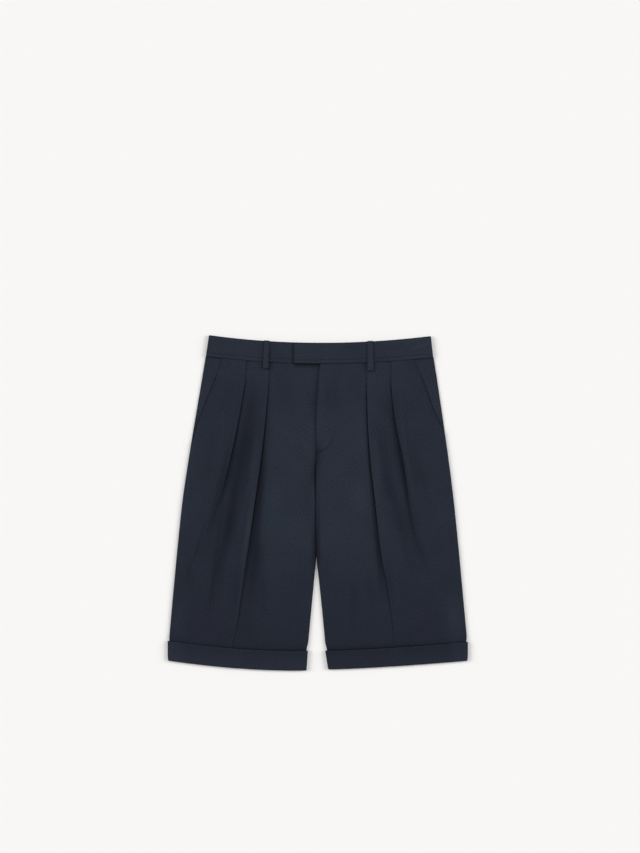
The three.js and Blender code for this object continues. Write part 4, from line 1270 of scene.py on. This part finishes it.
# Painted light and shade of the waistband: painted shadows along its stitching, foot, top edge and loops,
# a painted highlight on its roll, and the painted crease strokes.
def band_shade(side, x, y, above_seam, below_top):
    shade = BAND_PLAIN + shadow("band stitching", above_seam - BAND_STITCH_UP)
    shade += shadow("foot of the band", above_seam) + shadow("top edge of the band", below_top)
    shade += shadow("roll of the band", below_top - BAND_ROLL)
    shade += loop_shadow(side, x, y)
    shade += fold_heights(BAND_PAINTED_CREASES[side], y, SIGN[side] * x)
    for at, wide, dark in BAND_SHADES[side]:
        shade += dark * fade(x - at, wide)
    return shade


def waistband(side):
    sign = SIGN[side]
    end = TAB_END if side == "right" else -BAND_UNDERLAP_END
    centre_back = sign * float(read(CENTRE, "x", CENTRE_BACK_Y)) + SEAM_GAP / 2
    radius = (BAND_FRONT_LEVEL - BAND_BACK_LEVEL) / 2
    lines, shade = [], []
    for down in np.linspace(0, 1, BAND_ROWS):
        seam = float(read(SIDE, side, BAND_SIDE["top"] - BAND_SIDE["deep"] * down))
        edge = seam - BAND_CLOTH / 2 + BAND_SPREAD * down
        outs = np.linspace(end, edge - radius, BAND_FRONT_COLUMNS)[:-1]
        turned = round_edge(edge, 1, radius, BAND_BACK_LEVEL)
        behind = np.linspace(edge - radius, centre_back, BAND_BACK_COLUMNS)[1:]
        out = np.concatenate([outs, turned[:, 0], behind])
        x = sign * out
        foot, top = waist_line(BAND_SEAM, x), waist_line(BAND_TOP, x)
        y = top + (foot - top) * down
        sewn = (sign * outs > TAB_STITCH_X) | (side == "left")
        level = band_level(side, sign * outs)
        level = level + BAND_PUFF["high"] * np.sin(np.pi * down) ** BAND_PUFF["power"]
        stitched = fade((y - foot)[:len(outs)] - BAND_STITCH_UP, BAND_CHANNEL["wide"]) * sewn
        level = level - BAND_CHANNEL["deep"] * stitched
        z = np.concatenate([level, turned[:, 1], np.full(len(behind), BAND_BACK_LEVEL)])
        lines.append(np.stack([x, y, z], 1))
        shade.append(band_shade(side, x, y, y - foot, top - y))
    return wall(f"band_{side}", np.array(lines), BAND_CLOTH, BAND_SUITING, shade=np.array(shade))


bands = {side: waistband(side) for side in SIGN}
print("band faces:", len(bands["left"].data.polygons))

# %% [markdown]
# The belt loops are strips folded to a third, sewn over the band. Each is tacked down just below
# the band's seam, climbs over the band and is turned over its top edge. LOOP_LINE gives that line:
# a place on the band, how far above it, what the loop lies on there and how far above that.

# %% Belt loops
LOOP_COLUMNS = 11
LOOP_LINE = [("seam", -9, "pleat", 0.15), ("seam", -4, "pleat", 0.1), ("seam", 3, "band", 0.05),
             ("middle", 0, "band", 0.45), ("top", -4, "band", 0.05)]
LOOP_CLEAR = 0.2
LOOP_ROLL = 0.15
LOOP_EASE = 0.05
LOOP_POINTS = {"apart": 1.6, "kept": 34, "turn": 8}
LOOP_TAIL = (0.7, 1.4)
LOOP_CROWN = 0.22


def belt_loop(side):
    loop = LOOPS[side]
    pleat = pleat_bends(side, BAND_SEAM["low"] - loop["below_seam"], INNER_PLEAT[side])
    levels = {
        "pleat": pleat["high"] + CLOTH / 2 + SEAM_GAP + LOOP_CLOTH / 2 + LOOP_CLEAR,
        "band": BAND_FRONT_LEVEL + BAND_CLOTH / 2 + SEAM_GAP + LOOP_CLOTH / 2,
    }
    radius = LOOP_CLOTH / 2 + SEAM_GAP + LOOP_ROLL
    turn = np.linspace(0, np.pi / 2, LOOP_POINTS["turn"])
    columns = []
    for share in np.linspace(-0.5, 0.5, LOOP_COLUMNS):
        x = SIGN[side] * loop["middle"] + share * loop["wide"]
        seam, top = float(waist_line(BAND_SEAM, x)), float(waist_line(BAND_TOP, x))
        places = {"seam": seam, "middle": (seam + top) / 2, "top": top}
        chalk = [(seam - loop["below_seam"], levels["pleat"])]
        chalk += [(places[place] + up, levels[on] + lift) for place, up, on, lift in LOOP_LINE]
        over = np.stack([top + radius * np.sin(turn),
                         levels["band"] + LOOP_EASE - radius * (1 - np.cos(turn))], 1)
        tail = [[top + radius, levels["band"] - radius - drop] for drop in LOOP_TAIL]
        flat = smooth_path(chalk, LOOP_POINTS["apart"])[:LOOP_POINTS["kept"]]
        path = np.concatenate([flat, over, tail])
        crown = LOOP_CROWN * (1 - (2 * share) ** 4)
        lean = SIGN[side] * loop["slant"] * (top - path[:, 0]) / (top - seam)
        columns.append(np.stack([x + lean, path[:, 0], path[:, 1] + crown], 1))
    shortest = min(len(c) for c in columns)
    grid = np.stack([c[:shortest] for c in columns], 1)
    return wall(f"loop_{side}", grid, LOOP_CLOTH, BAND_SUITING)


loops = {side: belt_loop(side) for side in SIGN}
print("loop faces:", len(loops["left"].data.polygons))

# %% [markdown]
# Sewing is a row of small equal stitches along a path, which is just what Geometry Nodes are for.
# The tree resamples a curve, sets one rounded stitch on each point, turned along the path, and
# realizes them. Each path is first dropped onto the cloth from above, so that it follows the folds.

# %% Stitch tree
STITCH_PITCH = 3.1
STITCH_LONG = 2.5
THREAD = 0.42
STITCH_BALL = {"Segments": 8, "Rings": 5, "Radius": 0.5}
STITCH_INPUTS = {"Geometry": "Geometry", "Pitch": "Float", "Stitch Length": "Float",
                 "Thread": "Float", "Material": "Material"}
STITCH_NODES = {
    "source": "NodeGroupInput", "result": "NodeGroupOutput",
    "curve": "GeometryNodeMeshToCurve", "even": "GeometryNodeResampleCurve",
    "ball": "GeometryNodeMeshUVSphere", "smooth": "GeometryNodeSetShadeSmooth",
    "tangent": "GeometryNodeInputTangent", "turn": "FunctionNodeAlignRotationToVector",
    "size": "ShaderNodeCombineXYZ", "place": "GeometryNodeInstanceOnPoints",
    "real": "GeometryNodeRealizeInstances", "paint": "GeometryNodeSetMaterial",
}
STITCH_LINKS = [
    ("source.Geometry", "curve.Mesh"), ("curve.Curve", "even.Curve"), ("source.Pitch", "even.Length"),
    ("tangent.Tangent", "turn.Vector"), ("source.Stitch Length", "size.X"),
    ("source.Thread", "size.Y"), ("source.Thread", "size.Z"), ("ball.Mesh", "smooth.Geometry"),
    ("even.Curve", "place.Points"), ("smooth.Geometry", "place.Instance"),
    ("turn.Rotation", "place.Rotation"), ("size.Vector", "place.Scale"),
    ("place.Instances", "real.Geometry"), ("real.Geometry", "paint.Geometry"),
    ("source.Material", "paint.Material"), ("paint.Geometry", "result.Geometry"),
]


def stitch_tree():
    tree = bpy.data.node_groups.new("stitches", "GeometryNodeTree")
    for label, kind in STITCH_INPUTS.items():
        tree.interface.new_socket(name=label, in_out="INPUT", socket_type=f"NodeSocket{kind}")
    tree.interface.new_socket(name="Geometry", in_out="OUTPUT", socket_type="NodeSocketGeometry")
    nodes = {name: tree.nodes.new(kind) for name, kind in STITCH_NODES.items()}
    nodes["even"].mode = "LENGTH"
    nodes["turn"].axis = "X"
    for label, value in STITCH_BALL.items():
        nodes["ball"].inputs[label].default_value = value
    for start, end in STITCH_LINKS:
        (node, label), (next_node, next_label) = start.split("."), end.split(".")
        tree.links.new(nodes[node].outputs[label], nodes[next_node].inputs[next_label])
    return tree


STITCHES = stitch_tree()
print("stitch tree nodes:", len(STITCHES.nodes))

# %% Thread material and a helper that sews along paths
THREAD_DARK = (0.006, 0.007, 0.012)
THREAD_LIGHT = (0.014, 0.016, 0.026)
THREAD_GRAIN = (900.0, 2.0, 0.5)
DROP_FROM = 50.0


def thread_material():
    material, tree, shader = new_material("navy_thread", {"Roughness": 0.6})
    place = tree.nodes.new("ShaderNodeTexCoord")
    grain = noise_node(tree, place.outputs["Object"], *THREAD_GRAIN)
    tree.links.new(rgb_mix(tree, grain, THREAD_DARK, THREAD_LIGHT), shader.inputs["Base Color"])
    return material


THREAD_MATERIAL = thread_material()


def drop_onto(path, piece, above=0.1):
    """Lays (x, y) points, in millimetres, on the top of the piece below them."""
    tree = BVHTree.FromPolygons([v.co for v in piece.data.vertices],
                                [f.vertices for f in piece.data.polygons])
    points = []
    for x, y in path:
        hit = tree.ray_cast(Vector((x * MM, y * MM, DROP_FROM * MM)), Vector((0, 0, -1)))[0]
        if hit is not None:
            points.append((x * MM, y * MM, hit.z + above * MM))
    return points


def sew(name, paths, pitch=STITCH_PITCH, long=STITCH_LONG, thread=THREAD):
    points, edges = [], []
    for path in paths:
        edges += [(len(points) + k, len(points) + k + 1) for k in range(len(path) - 1)]
        points += path
    mesh = bpy.data.meshes.new(name + "_path")
    mesh.from_pydata(points, edges, [])
    holder = put(name + "_path", mesh)
    modifier = holder.modifiers.new("stitches", "NODES")
    modifier.node_group = STITCHES
    sockets = {s.name: s.identifier for s in STITCHES.interface.items_tree if s.in_out == "INPUT"}
    for label, size in (("Pitch", pitch), ("Stitch Length", long), ("Thread", thread)):
        modifier[sockets[label]] = size * MM
    modifier[sockets["Material"]] = THREAD_MATERIAL
    bpy.context.view_layer.update()
    evaluated = holder.evaluated_get(bpy.context.evaluated_depsgraph_get())
    made = bpy.data.meshes.new_from_object(evaluated)
    made.name = name
    bpy.data.objects.remove(holder)
    print(name, "faces:", len(made.polygons))
    return put(name, made)


# %% [markdown]
# The visible sewing: one row along the waistband above its seam, a short row that closes the tab,
# the curved row that holds the fly, and two rows down each belt loop.

# %% Topstitching
BAND_ROW = {"left": (-201.5, TAB_END - 1.5), "right": (TAB_STITCH_X, 208.5)}
TAB_ROW = (254.6, 266.2)
FLY_THREAD = 0.32
LOOP_STITCHES = {"pitch": 2.6, "long": 2.1, "thread": 0.36}
LOOP_INSET = 1.6
LOOP_ROW_ENDS = {"bottom": 1.5, "top": 0.5}
PATH_STEP = 1.0


def band_row(side):
    xs = np.arange(*BAND_ROW[side], PATH_STEP)
    return drop_onto([(x, float(waist_line(BAND_SEAM, x)) + BAND_STITCH_UP) for x in xs], bands[side])


def loop_rows(side):
    loop = LOOPS[side]
    rows = []
    for edge in (-1, 1):
        x = SIGN[side] * loop["middle"] + edge * (loop["wide"] / 2 - LOOP_INSET)
        seam, top = float(waist_line(BAND_SEAM, x)), float(waist_line(BAND_TOP, x))
        ys = np.arange(seam - loop["below_seam"] + LOOP_ROW_ENDS["bottom"],
                       top - LOOP_ROW_ENDS["top"], PATH_STEP)
        lean = SIGN[side] * loop["slant"] * (top - ys) / (top - seam)
        rows.append(drop_onto(list(zip(x + lean, ys)), loops[side]))
    return rows


tab_row = drop_onto([(TAB_STITCH_X, y) for y in np.arange(*TAB_ROW, PATH_STEP)], bands["right"])
fly_row = drop_onto(fly_path.tolist(), fronts["right"], above=0.0)
topstitching = {
    "band": sew("topstitch_band", [band_row("left"), band_row("right"), tab_row]),
    "fly": sew("topstitch_fly", [fly_row], thread=FLY_THREAD),
    "loop": sew("topstitch_loops", loop_rows("left") + loop_rows("right"), **LOOP_STITCHES),
}

# %% [markdown]
# The shorts lie on a plain pale table. A wide lamp on each side rakes across the folds, a weaker one
# stands above the waist, and an even white surround fills the shadows. Sun lamps are far away, so
# they light the table evenly.

# %% Table, lamps and surround
FLOOR_HALF = 30.0
FLOOR_DROP = 0.0002
FLOOR_PAINT = {"Base Color": (0.9, 0.893, 0.88), "Roughness": 0.9, "Specular IOR Level": 0.1}
LAMP_COLUMNS = ("name", "lean_x", "lean_y", "power", "spread")
LAMPS = [
    ("soft_left", -60.0, 10.0, 2.1, 34.0),
    ("soft_right", 60.0, 10.0, 2.1, 34.0),
    ("soft_top", 0.0, 30.0, 0.6, 30.0),
]
SURROUND = 0.22


def plain_floor():
    mesh = bpy.data.meshes.new("table")
    corners = [(-1, -1), (1, -1), (1, 1), (-1, 1)]
    mesh.from_pydata([(x * FLOOR_HALF, y * FLOOR_HALF, -FLOOR_DROP) for x, y in corners], [],
                     [(0, 1, 2, 3)])
    mesh.materials.append(new_material("table_white", FLOOR_PAINT)[0])
    floor = put("table", mesh)


def far_lamp(values):
    lamp = dict(zip(LAMP_COLUMNS, values))
    data = bpy.data.lights.new(lamp["name"], "SUN")
    data.energy = lamp["power"]
    data.angle = math.radians(lamp["spread"])
    light = put(lamp["name"], data)
    light.location = (0.0, 0.0, CAMERA_HIGH * MM)
    light.rotation_euler = (math.radians(-lamp["lean_y"]), math.radians(lamp["lean_x"]), 0.0)


plain_floor()
for values in LAMPS:
    far_lamp(values)
world = bpy.data.worlds.new("surround")
world.use_nodes = True
world.node_tree.nodes["Background"].inputs["Color"].default_value = (1.0, 1.0, 1.0, 1.0)
world.node_tree.nodes["Background"].inputs["Strength"].default_value = SURROUND
bpy.context.scene.world = world
bpy.context.scene.view_settings.view_transform = "Standard"

# %% [markdown]
# Last, each piece is fixed to the imported model: it rides on the one body and stands for its own solid,
# which is hidden. Its flat size is what `wall` measured along it, and its area is half of the closed
# wall's; both are printed. A belt loop is also as much wider as the cloth folded round its edges.

# %% Fix the pieces to the model
def cut_area(piece):
    """Half of the closed wall's area, in square metres."""
    made = bmesh.new()
    made.from_mesh(piece.data)
    area = sum(f.calc_area() for f in made.faces) / 2
    made.free()
    return area


NODES = {"front": "front_panel", "back": "back_panel", "facing": "pocket_facing",
         "turn_up": "turn_up", "band": "waistband", "loop": "belt_loop"}
KINDS = {"front": fronts, "back": backs, "facing": facings, "turn_up": turn_ups,
         "band": bands, "loop": loops}

for kind, pair in KINDS.items():
    for side, piece in pair.items():
        area = cut_area(piece)
        width, length = flat_size[piece.name]
        if kind == "loop":
            width += LOOP_CLOTH * MM
        print(piece.name, "flat:", round(width, 3), "x", round(length, 3), "m, area:", round(area, 4))
        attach(piece, "root")
        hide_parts(f"{NODES[kind]}_{side}")

for kind, piece in topstitching.items():
    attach(piece, "root")
